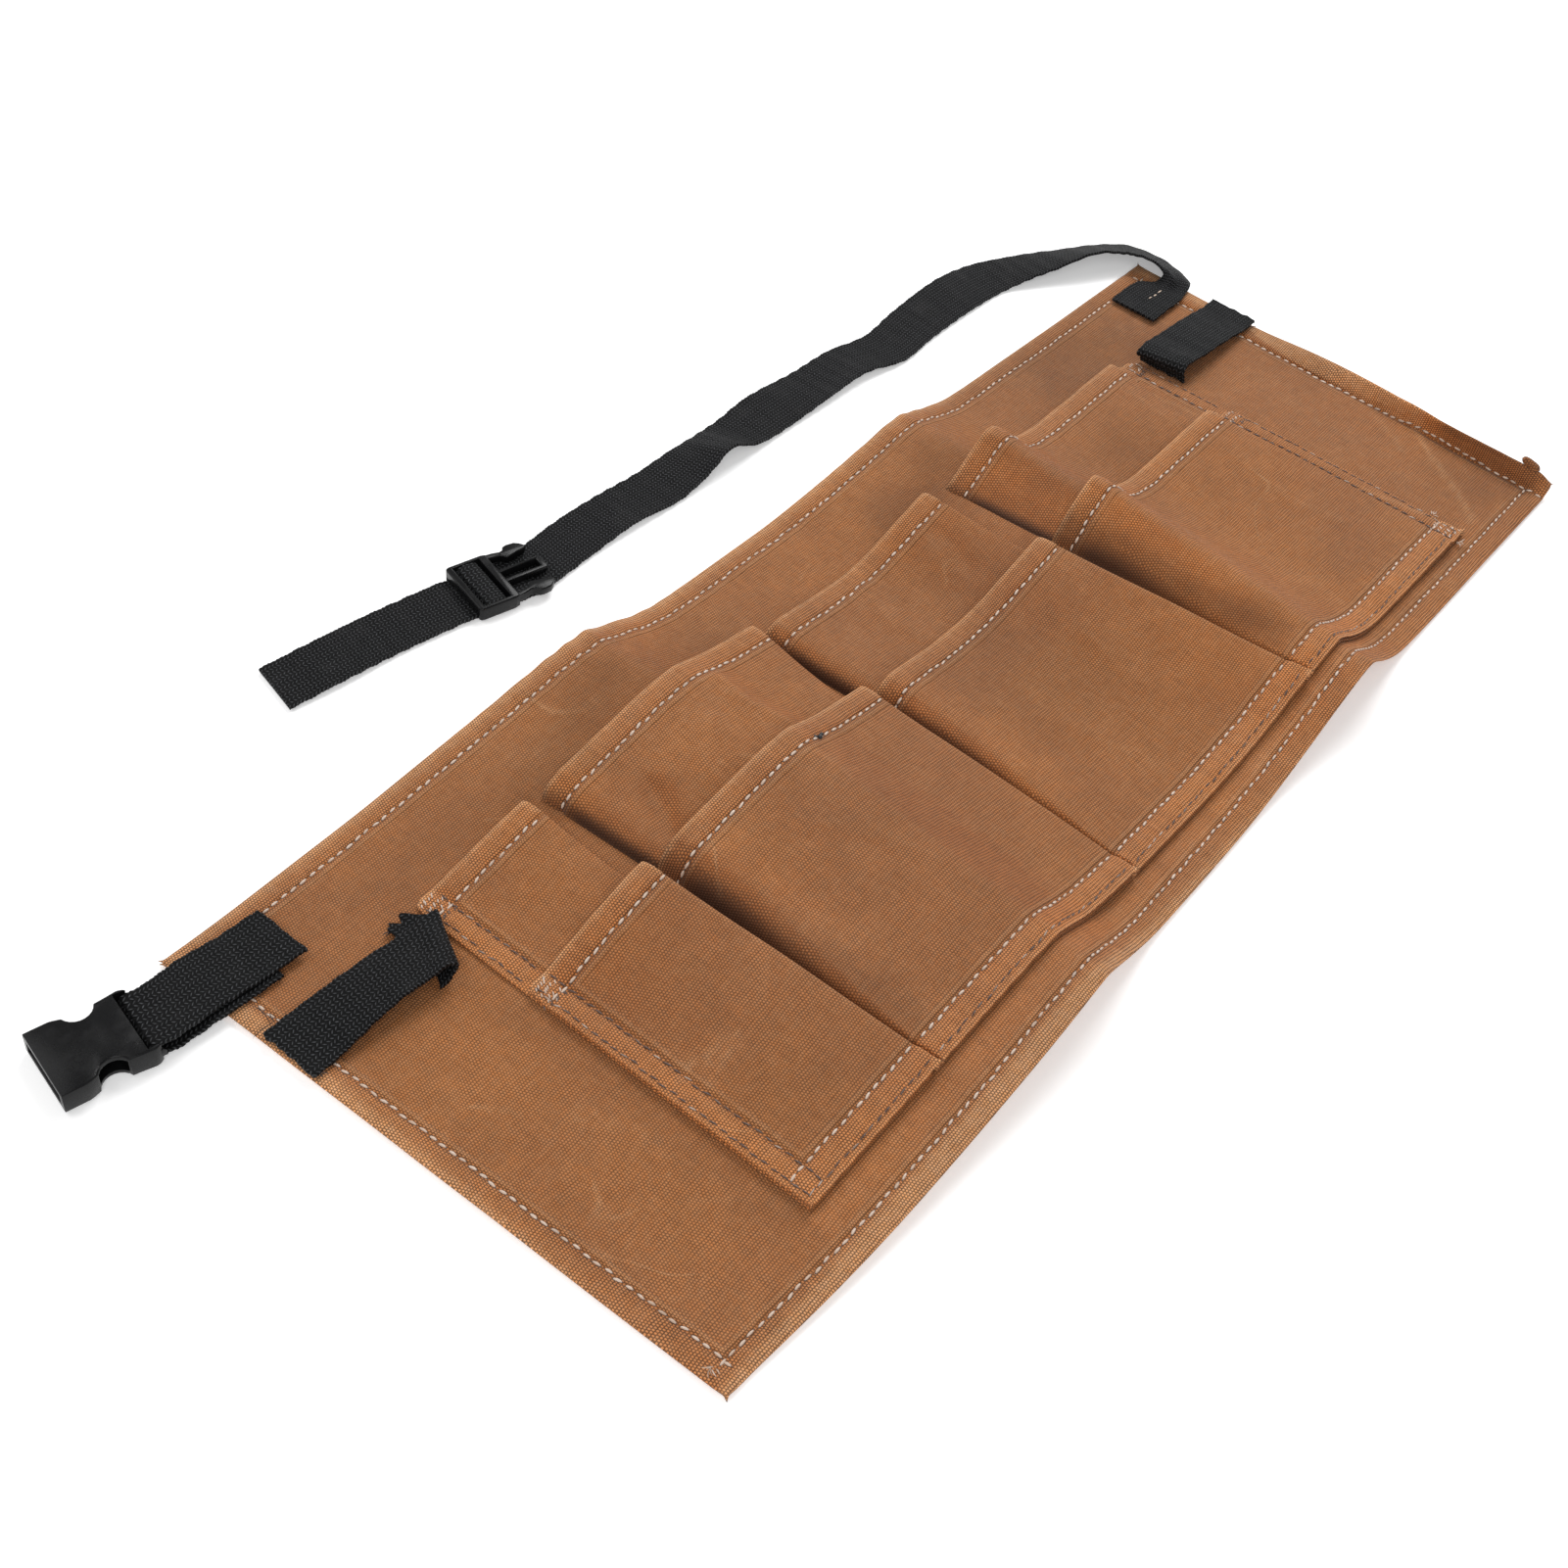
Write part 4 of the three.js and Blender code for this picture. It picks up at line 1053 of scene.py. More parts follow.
def panel_top(x: Array | float, y: Array | float) -> Array | float:
    """Height of the panel's top face, with its two standing fold lines.

    Args:
        x: Place along the belt.
        y: Place across the belt.

    Returns:
        The height in millimetres.
    """
    up = (y - LOWER_Y) / PANEL_HEIGHT
    total = CANVAS + 0 * up
    for line, waist, lower, left, right in FOLDS:
        away = x - line * THIRD
        share = np.minimum(np.abs(away) / (np.where(away < 0, left, right) * THIRD), 1)
        rounded = (np.hypot(share, 0.09) - 0.09) / (math.hypot(1, 0.09) - 0.09)
        total = total + (lower + (waist - lower) * up) * (1 - rounded) ** 1.5
    return total


def half_width(y: float) -> float:
    """Half the panel's width at a height."""
    up = (y - LOWER_Y) / PANEL_HEIGHT
    return 0.5 * (PANEL_LOWER_WIDTH + (PANEL_WAIST_WIDTH - PANEL_LOWER_WIDTH) * up)


def seam_x(k: int, y: float) -> float:
    """Place of the seam on the left of column k at a height."""
    if k in (0, len(SEAMS) - 1):
        return SEAMS[k]
    return SEAMS[k] - SEAM_LEAN * (y - SEAT_Y) / PANEL_HEIGHT


def beside(where: Array, line: Sequence[tuple[float, float]]) -> tuple[Array, Array]:
    """Measure from a line through points, in plan.

    Args:
        where: Rows of x, y and more, in millimetres.
        line: The points of the line.

    Returns:
        The distance from the line and the length passed along it, for each row.
    """
    line = np.array(line, float)
    away, along, gone = np.full(len(where), 1e9), np.zeros(len(where)), 0.0
    for a, b in zip(line[:-1], line[1:]):
        span = b - a
        length = np.hypot(*span)
        t = np.clip(((where[:, :2] - a) @ span) / length**2, 0, 1)
        gap = np.hypot(*(where[:, :2] - a - t[:, None] * span).T)
        along = np.where(gap < away, gone + t * length, along)
        away = np.minimum(away, gap)
        gone += length
    return away, along


def strongest(where: Array, marks: Sequence[tuple]) -> Array:
    """Strength of the strongest of some soft marks.

    Args:
        where: Rows of x, y and more, in millimetres.
        marks: The line, strength and width of each mark.

    Returns:
        One strength for each row.
    """
    total = np.zeros(len(where))
    for line, strength, width in marks:
        total = np.maximum(total, strength * bump_at(beside(where, line)[0], width))
    return total


# Creases: points of a line in plan, share of wax bloom along it and rise of its fold
PANEL_CREASES = (
    (((297, -44), (286, -56), (272, -74), (262, -88), (249, -100)), 0.75, 0.5),
    (((287, -30), (281, -42), (274, -52)), 0.35, 0.2),
    (((-262, -20), (-251, -43), (-247, -70)), 0.22, 0.3),
    (((-160, 92), (-140, 97), (-118, 91)), 0.25, 0.3),
    (((268, 10), (262, -14)), 0.25, 0.2),
)
POCKET_CREASES = {
    "front_pocket_1": ((((-224, -38), (-214, -42), (-205, -43)), 0.5, -0.5),
                       (((-219, -45), (-209, -48)), 0.35, 0.3)),
    "front_pocket_2": ((((-128, -6), (-112, -28), (-107, -52)), 0.12, 0.5),
                       (((-86, -40), (-70, -58)), 0.15, 0.4)),
    "back_pocket_2": ((((-91, 61), (-93, 46), (-87, 28)), 0.22, 2.2),
                      (((-156, 29), (-147, 44)), 0.05, -2.6),
                      (((-128, 38), (-112, 50)), 0.12, 1.0),
                      (((-102, 56), (-106, 34)), 0.0, -1.0)),
    "front_pocket_3": ((((-14, -14), (2, -40), (6, -66)), 0.12, 0.5),
                       (((44, -20), (40, -52)), 0.15, 0.4)),
    "back_pocket_3": ((((8, 64), (0, 44), (6, 28)), 0.12, 1.0), (((50, 58), (44, 40)), 0.1, -0.8)),
    "front_pocket_4": ((((120, -10), (132, -44)), 0.1, 0.5),
                       (((196, -6), (190, -34), (196, -60)), 0.18, 0.5)),
    "back_pocket_4": ((((128, 62), (120, 42)), 0.1, 0.8), (((204, 60), (200, 36)), 0.14, 0.5)),
}

# Soft painted shadows: points of a line in plan, share of painted shadow and width
PANEL_PAINTED_SHADOWS = (
    (((-128, 96), (-96, 84), (-62, 88)), 0.20, 17), (((-232, 84), (-180, 88)), 0.14, 14),
    (((-172, 80), (-140, 89), (-112, 97)), 0.30, 14), (((248, 92), (200, 96)), 0.33, 30),
    (((96, 88), (76, 82), (54, 84)), 0.32, 15), (((284, -98), (276, -88)), 0.28, 22),
    (((296, 38), (294, 2)), 0.15, 14), (((-244, 20), (-243, -95)), 0.13, 7),
)
POCKET_PAINTED_SHADOWS = {
    "front_pocket_1": ((((-212, -2), (-208, -16)), 0.09, 20),
                       (((-208, -66), (-204, -80)), 0.12, 22)),
    "front_pocket_2": ((((-118, -6), (-114, -20)), 0.09, 20),),
    "front_pocket_3": ((((16, -14), (20, -28)), 0.23, 40), (((24, -56), (28, -70)), 0.10, 26)),
    "front_pocket_4": ((((172, -12), (176, -26)), 0.12, 22), (((176, -56), (180, -70)), 0.08, 24)),
    "back_pocket_2": ((((-158, 34), (-154, 20)), 0.20, 14),),
    "back_pocket_3": ((((34, 50), (38, 36)), 0.17, 24),),
    "back_pocket_4": ((((170, 34), (174, 20)), 0.27, 25), (((98, 40), (102, 26)), 0.20, 16)),
}

# Loose yarns: place, heading in degrees and reach
PANEL_TUFTS = ((-297, -112, 2.8, 200, 3.0),)
POCKET_TUFTS = {"front_pocket_4": ((228, -102.5, 3.5, -70, 3.5), (236, -86, 4.5, -10, 2.5))}
LEFT_LOOP_TUFTS = ((-302, 74, 3.2, 100, 8), (-304, 49, 3.2, 230, 3), (-250, 73, 4.5, 160, 2.5))
RIGHT_LOOP_TUFTS = ((302, 49, 4.5, -60, 3), (240, 73, 9.0, 110, 2.5))


@dataclass
class Canvas:
    """A sewn piece of canvas, smoothed and creased from its solid."""

    node: str
    flat: tuple[float, float]
    lies_on: list[Object] = field(default_factory=list)
    levels: int = 3
    billow: float = 0.5
    held_corners: tuple = ((-1, -1), (1, -1))
    creases: tuple = ()
    tufts: tuple = ()

    def rows(self) -> list[StitchRow]:
        """Rows of stitches that show on the piece."""
        return []

    def extras(self) -> list[Object]:
        """Further bits of the same cloth."""
        return []

    def wear(self, where: Array) -> Array:
        """Share of rubbing at each corner."""
        return np.zeros(len(where))

    def relief(self, where: Array) -> Array:
        """Height to add at each corner, in millimetres."""
        return self.billow * 0.35 * ripple(where[:, 0], where[:, 1], 46, 11)

    def pinch(self, where: Array) -> Array:
        """Height lost along the rows of stitches, with a pucker between the stitches."""
        depth = np.zeros(len(where))
        for row in self.rows():
            away, along = beside(where, row.line)
            turn = along * 2 * math.pi / (2.6 * row.pitch) + 1.3 * np.sin(along / 17.0)
            pucker = 0.75 + 0.25 * np.sin(turn)
            depth -= 0.34 * bump_at(away, 1.5) + 0.2 * pucker * bump_at(away, 4.2)
        return depth

    def keep_corners(self, obj: Object) -> None:
        """Keep the sewn corners of the cloth from rounding off when it is smoothed.

        Args:
            obj: The cloth before it is smoothed.
        """
        where = places(obj)
        held = np.zeros(len(where))
        for sx, sy in self.held_corners:
            reach = sx * where[:, 0] + sy * where[:, 1]
            held[reach > reach.max() - 1.0] = 1.0
        paint(obj, "crease_vert", held)

    def build(self) -> Object:
        """Build the cloth, its creases and its stitches.

        Returns:
            The piece of cloth.
        """
        obj = merged_copy(self.node, f"{self.node}_canvas")
        self.keep_corners(obj)
        apply(obj, "SUBSURF", levels=self.levels, render_levels=self.levels)
        obj = joined(obj.name, [obj, *self.extras()])
        where = places(obj)
        # the shade and light shares are painted shadow and painted light; rub is wear and crease is
        # wax bloom
        for name, share in (("rub", self.wear), ("crease", self.crease), ("shade", self.shade),
                            ("painted_light", self.painted_light)):
            paint(obj, name, np.clip(share(where), 0, 1))
        paint(obj, "hem", np.clip(self.hem(where), -20, 20))
        where[:, 2] += self.relief(where) + self.pinch(where) + self.folds(where)
        where[:, 2] = np.maximum(where[:, 2], 0.02)
        move_to(obj, where)
        obj.data.materials.append(Finishes.get(WaxedCanvas))
        smooth(obj)
        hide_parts(self.node)
        seed = len(self.node) + 7
        stitches = Stitching(f"{self.node}_stitches", self.rows(), seed=seed).build(obj)
        sewn = [stitches] if stitches is not None else []
        if self.tufts:
            sewn.append(Fray(f"{self.node}_loose_yarns", self.tufts, Thread.PALE,
                             seed=len(sewn) + 3).build())
        for piece in sewn:
            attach(piece, "root")
        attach(obj, "root")
        LOG.info("%s: %d faces, %d rows of stitches", obj.name, len(obj.data.polygons),
                 len(self.rows()))
        return obj

    def crease(self, where: Array) -> Array:
        """Share of wax bloom at each corner."""
        return strongest(where, [(line, share, 1.3) for line, share, _ in self.creases])

    def folds(self, where: Array) -> Array:
        """Height of the soft folds that the creases stand on, in millimetres."""
        total = np.zeros(len(where))
        for line, _, rise in self.creases:
            total += rise * bump_at(beside(where, line)[0], 5.0)
        return total

    def shade(self, where: Array) -> Array:
        """Share of painted deep shadow at each corner."""
        return np.zeros(len(where))

    def painted_light(self, where: Array) -> Array:
        """Share of painted light at each corner, where the cloth shows lighter."""
        return np.zeros(len(where))

    def hem(self, where: Array) -> Array:
        """Distance from the nearest hem's stitches into the middle of the piece, in millimetres."""
        return np.full(len(where), 20.0)


@dataclass
class Panel(Canvas):
    """The backing panel, hemmed all round."""

    node: str = "backing_panel"
    flat: tuple[float, float] = (0.626, 0.244)
    held_corners: tuple = ((-1, -1), (-1, 1), (1, -1), (1, 1))
    curl_inset: float = 2.6
    curl_x: float = 286.0

    def rows(self) -> list[StitchRow]:
        """One row along each hem."""
        low, high = LOWER_Y + HEM_ROW, WAIST_Y - HEM_ROW
        ends = (low - 6, 0, high + 6)
        left = [(-half_width(y) + HEM_ROW, y) for y in ends]
        right = [(half_width(y) - HEM_ROW - self.curl_inset, y) for y in ends]
        lower = [(x, low + self.sway(x, -1)) for x in np.linspace(-296, 292, 30)]
        waist = [(x, high + self.sway(x, 1)) for x in np.linspace(-304, 304, 30)]
        return [StitchRow(left), StitchRow(right), StitchRow(lower), StitchRow(waist)]

    @staticmethod
    def sway(x: Array | float, side: int) -> Array | float:
        """Offset of a long edge outwards at a place along it."""
        if side < 0:
            return -10 * np.interp(x / (PANEL_LOWER_WIDTH / 2), (-1, -0.75, -0.5, -0.15, 0.34, 1),
                                   (0.1, 0.5, 0.5, 0.1, -0.3, -0.35))
        return 10 * np.interp(x / HALF_WAIST, (-1, 0, 1), (0.1, 0.15, -0.15))

    def hem(self, where: Array) -> Array:
        """Distance inside the four rows of hem stitches."""
        x, y = where[:, 0], where[:, 1]
        ends = np.minimum(half_width(y) + x, half_width(y) - x - self.curl_inset) - HEM_ROW
        sides = np.minimum(y - LOWER_Y - self.sway(x, -1), WAIST_Y + self.sway(x, 1) - y) - HEM_ROW
        return np.minimum(ends, sides)

    def relief(self, where: Array) -> Array:
        """Billow, with the waist hem puckered on the standing fold."""
        x, y, z = where.T
        on_hem = eased((y - WAIST_Y + 15) / 9)
        fold = bump_at(x + 0.5 * THIRD, 46) + 0.6 * bump_at(x - 0.5 * THIRD, 40)
        corner = (x > self.curl_x) * (z > 3) * eased((-109 - y) / 13)
        pucker = 0.42 * on_hem * fold * np.sin(x / 2.3 + 1.4 * np.sin(x / 9.0))
        return super().relief(where) + pucker - 0.75 * corner * np.maximum(z - 2.6, 0)

    def extras(self) -> list[Object]:
        """The rolled tab of hem that stands at the lower right corner.

        Returns:
            The tab alone.
        """
        bpy.ops.mesh.primitive_uv_sphere_add(segments=20, ring_count=14, radius=1.0,
                                             calc_uvs=False)
        tab = bpy.context.object
        ball = np.array([v.co[:] for v in tab.data.vertices])
        along = ball[:, 2]
        girth = np.sqrt(np.clip(1 - along**2, 0, 1))
        blunt = np.clip(1 - np.abs(along) ** 7, 0, 1) / np.maximum(girth, 0.05)
        roll = 1 + 0.16 * np.sin(2 * np.arctan2(ball[:, 1], ball[:, 0]) + 2.2 * along)
        where = np.stack([294.9 + 1.9 * ball[:, 0] * blunt * roll + 0.8 * along**2,
                          -104.6 - 4.9 * along,
                          11.9 + 1.5 * ball[:, 1] * blunt * roll - 0.9 * along - 0.7 * along**2], 1)
        move_to(tab, where)
        with editing(tab):
            bpy.ops.mesh.normals_make_consistent(inside=False)
        return [tab]

    def shade(self, where: Array) -> Array:
        """Painted shadow in the curl of the hem at the lower right corner, and the soft painted
        shadows.
        """
        x, y, z = where.T
        curl = 0.4 * eased((-50 - y) / 18) * eased((z - 6.5) / 4) * eased((y + 118) / 8)
        return np.maximum(curl * (x > self.curl_x), strongest(where, PANEL_PAINTED_SHADOWS))

    def painted_light(self, where: Array) -> Array:
        """Painted light on the hems, most of all along the left end and the curl on the right."""
        x, y, z = where.T
        left = 0.5 * eased((-half_width(0) + 11 - x) / 5)
        lower = 0.2 * eased((LOWER_Y + 12 - y) / 5)
        front = 0.7 * bump_at(y - SEAT_Y + 4, 7) * (x > -240) * eased((150 - x) / 30)
        corner = 0.4 * bump_at(np.hypot(x + 300, y + 112), 30)
        waist = 0.28 * eased((y - WAIST_Y + 12) / 5) * eased((140 - x) / 60)
        curl = 0.9 * eased((y + 68) / 14) * eased((z - 1.0) / 3) * eased((10 - y) / 20)
        return np.max([left, lower, front, corner, waist, curl * (x > self.curl_x)], axis=0)

    def wear(self, where: Array) -> Array:
        """Rubbing along the outer edges."""
        x, y, z = where.T
        edge = np.minimum(np.minimum(y - LOWER_Y, WAIST_Y - y), 305 - np.abs(x))
        curl = (x > 288) * (z > 2.5) * eased((y + 58) / 20)
        return 0.75 * bump_at(np.maximum(edge, 0), 3.2) + 0.22 * bump_at(edge - 6, 5) + 0.5 * curl


@dataclass
class Pocket(Canvas):
    """One pocket of the front or back row."""

    column: int = 0
    front: bool = True
    tip: float = 5.0

    @property
    def mouth(self) -> float:
        """Height of the pocket's mouth."""
        return FRONT_MOUTH_Y if self.front else BACK_MOUTH_Y

    def rows(self) -> list[StitchRow]:
        """The mouth hem, and the seams that show at the bottom and the ends of the block."""
        left = seam_x(self.column, self.mouth) + 2.0
        right = seam_x(self.column + 1, self.mouth) - self.tip + 1.0
        hem = self.mouth - MOUTH_ROW
        found = [StitchRow([(left, hem), (0.5 * (left + right), hem + 0.25), (right, hem)])]
        if self.front:
            a, b = seam_x(self.column, SEAT_Y) + 1.5, seam_x(self.column + 1, SEAT_Y) - 1.0
            outer, inner = (SEAT_Y + rise for rise in SEAT_ROWS)
            found.append(StitchRow([(a, inner), (b, inner)]))
            found.append(StitchRow([(a, outer), (b, outer)], Thread.GREY, width=GREY_WIDTH))
        if self.column == 0:
            found += [self.end_row(SEAMS[0] + inset) for inset in LEFT_END_ROWS]
            found += [self.tack(SEAMS[0] + 1, self.mouth - drop, 9.5)
                      for drop in (3.0, 6.0, 9.0, 11.5)]
        if self.column == 3:
            found += [self.end_row(SEAMS[4] - inset, width)
                      for inset, width in zip(RIGHT_END_ROWS, (GREY_WIDTH, 0.9))]
            found += [self.tack(SEAMS[4] - 10.5, self.mouth - drop, 9) for drop in (4.0, 8.0, 11.5)]
            if self.front:
                found += [self.tack(SEAMS[4] - 11, SEAT_Y + rise, 10)
                          for rise in (3.0, 6.0, 9.0, 12.0)]
        if self.column == 1 and self.front:
            tag = [(-94.2, 12.0), (-88.0, 13.4)]
            found.append(StitchRow(tag, Thread.DARK, 1.2, 3.0, 1.9, 0.6, 0.5))
        return found

    def end_row(self, x: float, width: float = GREY_WIDTH) -> StitchRow:
        """A grey row up the end of the block, as far as the pocket shows there."""
        low = SEAT_Y + 2 if self.front else FRONT_MOUTH_Y + 2
        return StitchRow([(x, low), (x, self.mouth - 1)], Thread.GREY, width=width)

    @staticmethod
    def tack(x: float, y: float, width: float) -> StitchRow:
        """Short close stitches that fasten the end of a seam."""
        thread = Thread.GREY if int(y * 2) % 2 else Thread.PALE
        return StitchRow([(x, y), (x + width, y)], thread, 1.4, 2.6, 0.62, 0.9, 1.0)

    def hem(self, where: Array) -> Array:
        """Distance below the mouth's row, or inside the seams of the block."""
        x, y = where[:, 0], where[:, 1]
        inside = self.mouth - MOUTH_ROW - y
        if self.front:
            inside = np.minimum(inside, y - SEAT_Y - SEAT_ROWS[1])
        if self.column == 0:
            inside = np.minimum(inside, x - SEAMS[0] - LEFT_END_ROWS[1])
        if self.column == 3:
            inside = np.minimum(inside, SEAMS[4] - RIGHT_END_ROWS[1] - x)
        return inside

    def from_foot(self, where: Array) -> Array:
        """Distance from the foot of the pocket's left side, which leans with its seam."""
        lean = SEAM_LEAN * (where[:, 1] - SEAT_Y) / PANEL_HEIGHT
        return where[:, 0] - (SEAMS[self.column] - lean)

    def shoulder(self, where: Array) -> tuple[Array, Array]:
        """How far the cloth has risen from the seam on the left, beside the gap there.

        Args:
            where: Rows of x, y, z in millimetres.

        Returns:
            The share risen, and how open the gap is at that height.
        """
        gape = eased((where[:, 1] - SEAT_Y - 6) / (FRONT_MOUTH_Y - SEAT_Y - 30))
        return np.clip((self.from_foot(where) - 3.6 * gape) / (1.5 + 9.5 * gape), 0.0, 1), gape

    def shade(self, where: Array) -> Array:
        """Painted shadow down in the gap on the left, and in the soft hollows of the cloth."""
        hollows = strongest(where, POCKET_PAINTED_SHADOWS.get(self.node, ()))
        if self.column == 0:
            return hollows
        share, gape = self.shoulder(where)
        x, y = where[:, 0], where[:, 1]
        # every share below is painted shadow: above the gap, in the gap and on the flank beside it
        above = (0.03 if self.front else 0.15) * gape * bump_at(x - seam_x(self.column, 0) - 12, 20)
        deep = (0.45, 0.8, 0.45, 0.95)[self.column] if self.front else 0.45
        open_mouth = 1 - 0.45 * eased((y - self.mouth + 20) / 14)
        side = (0, 0.24, 0, 0.42)[self.column] * self.front * eased((y - SEAT_Y - 6) / 30)
        flank = side * bump_at(self.from_foot(where) - 8, 8)
        gap = 0.9 * gape * open_mouth * eased(1 - share / deep)
        return np.max([gap, above, flank, hollows], axis=0)

    def painted_light(self, where: Array) -> Array:
        """Painted light on the hems of the block, and on the shoulder beside the gap."""
        x, y = where[:, 0], where[:, 1]
        total = 0.3 * eased((y - self.mouth + MOUTH_HEM) / 4)
        if self.front:
            total = np.maximum(total, 0.85 * eased((SEAT_Y + 14 - y) / 5))
        if self.column == 0:
            return np.maximum(total, 0.75 * eased((SEAMS[0] + 13 - x) / 5))
        if self.column == 3:
            total = np.maximum(total, 0.25 * eased((x - SEAMS[4] + 13) / 5))
        # painted light on the shoulder beside the gap
        lit = (0, 0.55, 0.45, 0.8)[self.column] * bump_at(self.from_foot(where) - 15, 9)
        return np.maximum(total, lit * eased((y + 72) / 30))

    def relief(self, where: Array) -> Array:
        """Round the shoulder beside the seam on the left, and billow the cloth a little."""
        x, y, z = where.T
        height = super().relief(where)
        if self.column == 0:
            return height
        share, _ = self.shoulder(where)
        rise = 0.10 + 0.90 * np.sqrt(np.clip(1 - (1 - share) ** 2, 0, 1))
        return height * eased(share) + (rise - 1) * np.maximum(z - panel_top(x, y), 0)

    def wear(self, where: Array) -> Array:
        """Rubbing along the mouth, the bottom seam and the folded side."""
        x, y = where[:, 0], where[:, 1]
        ends = seam_x(self.column + 1, SEAT_Y), seam_x(self.column + 1, self.mouth) - self.tip
        tip = np.interp(y, (SEAT_Y, self.mouth), ends)
        rim = 0.8 * bump_at(self.mouth - y, 2.6) + 0.25 * bump_at(self.mouth - y - 6, 4)
        seat = 0.55 * bump_at(y - SEAT_Y, 2.2) * self.front
        return rim + seat + 0.45 * bump_at(x - tip, 2.5)


# Webbing


def spline(points: Array, shares: Array, centripetal: bool) -> Array:
    """Smooth curve through points.

    Args:
        points: Rows of the points that it passes through.
        shares: Where to read it, from 0 at the first point to 1 at the last.
        centripetal: Whether spans are weighed by their length, which keeps tight turns even.

    Returns:
        One row for each share.
    """
    points = np.asarray(points, float)
    spans = len(points) - 1
    whole = np.clip(np.floor(shares * spans).astype(int), 0, spans - 1)
    w = (shares * spans - whole)[:, None]
    ends = np.vstack([2 * points[0] - points[1], points, 2 * points[-1] - points[-2]])
    p0, p1, p2, p3 = (ends[whole + k] for k in range(4))
    if centripetal:
        d0, d1, d2 = (np.sqrt(np.linalg.norm(b - a, axis=1))[:, None]
                      for a, b in ((p0, p1), (p1, p2), (p2, p3)))
        d1 = np.where(d1 < 1e-4, 1.0, d1)
        d0 = np.where(d0 < 1e-4, d1, d0)
        d2 = np.where(d2 < 1e-4, d1, d2)
        t1 = ((p1 - p0) / d0 - (p2 - p0) / (d0 + d1) + (p2 - p1) / d1) * d1
        t2 = ((p2 - p1) / d1 - (p3 - p1) / (d1 + d2) + (p3 - p2) / d2) * d1
    else:
        t1, t2 = 0.5 * (p2 - p0), 0.5 * (p3 - p1)
    start, end = 2 * w**3 - 3 * w**2 + 1, 3 * w**2 - 2 * w**3
    return start * p1 + (w**3 - 2 * w**2 + w) * t1 + end * p2 + (w**3 - w**2) * t2


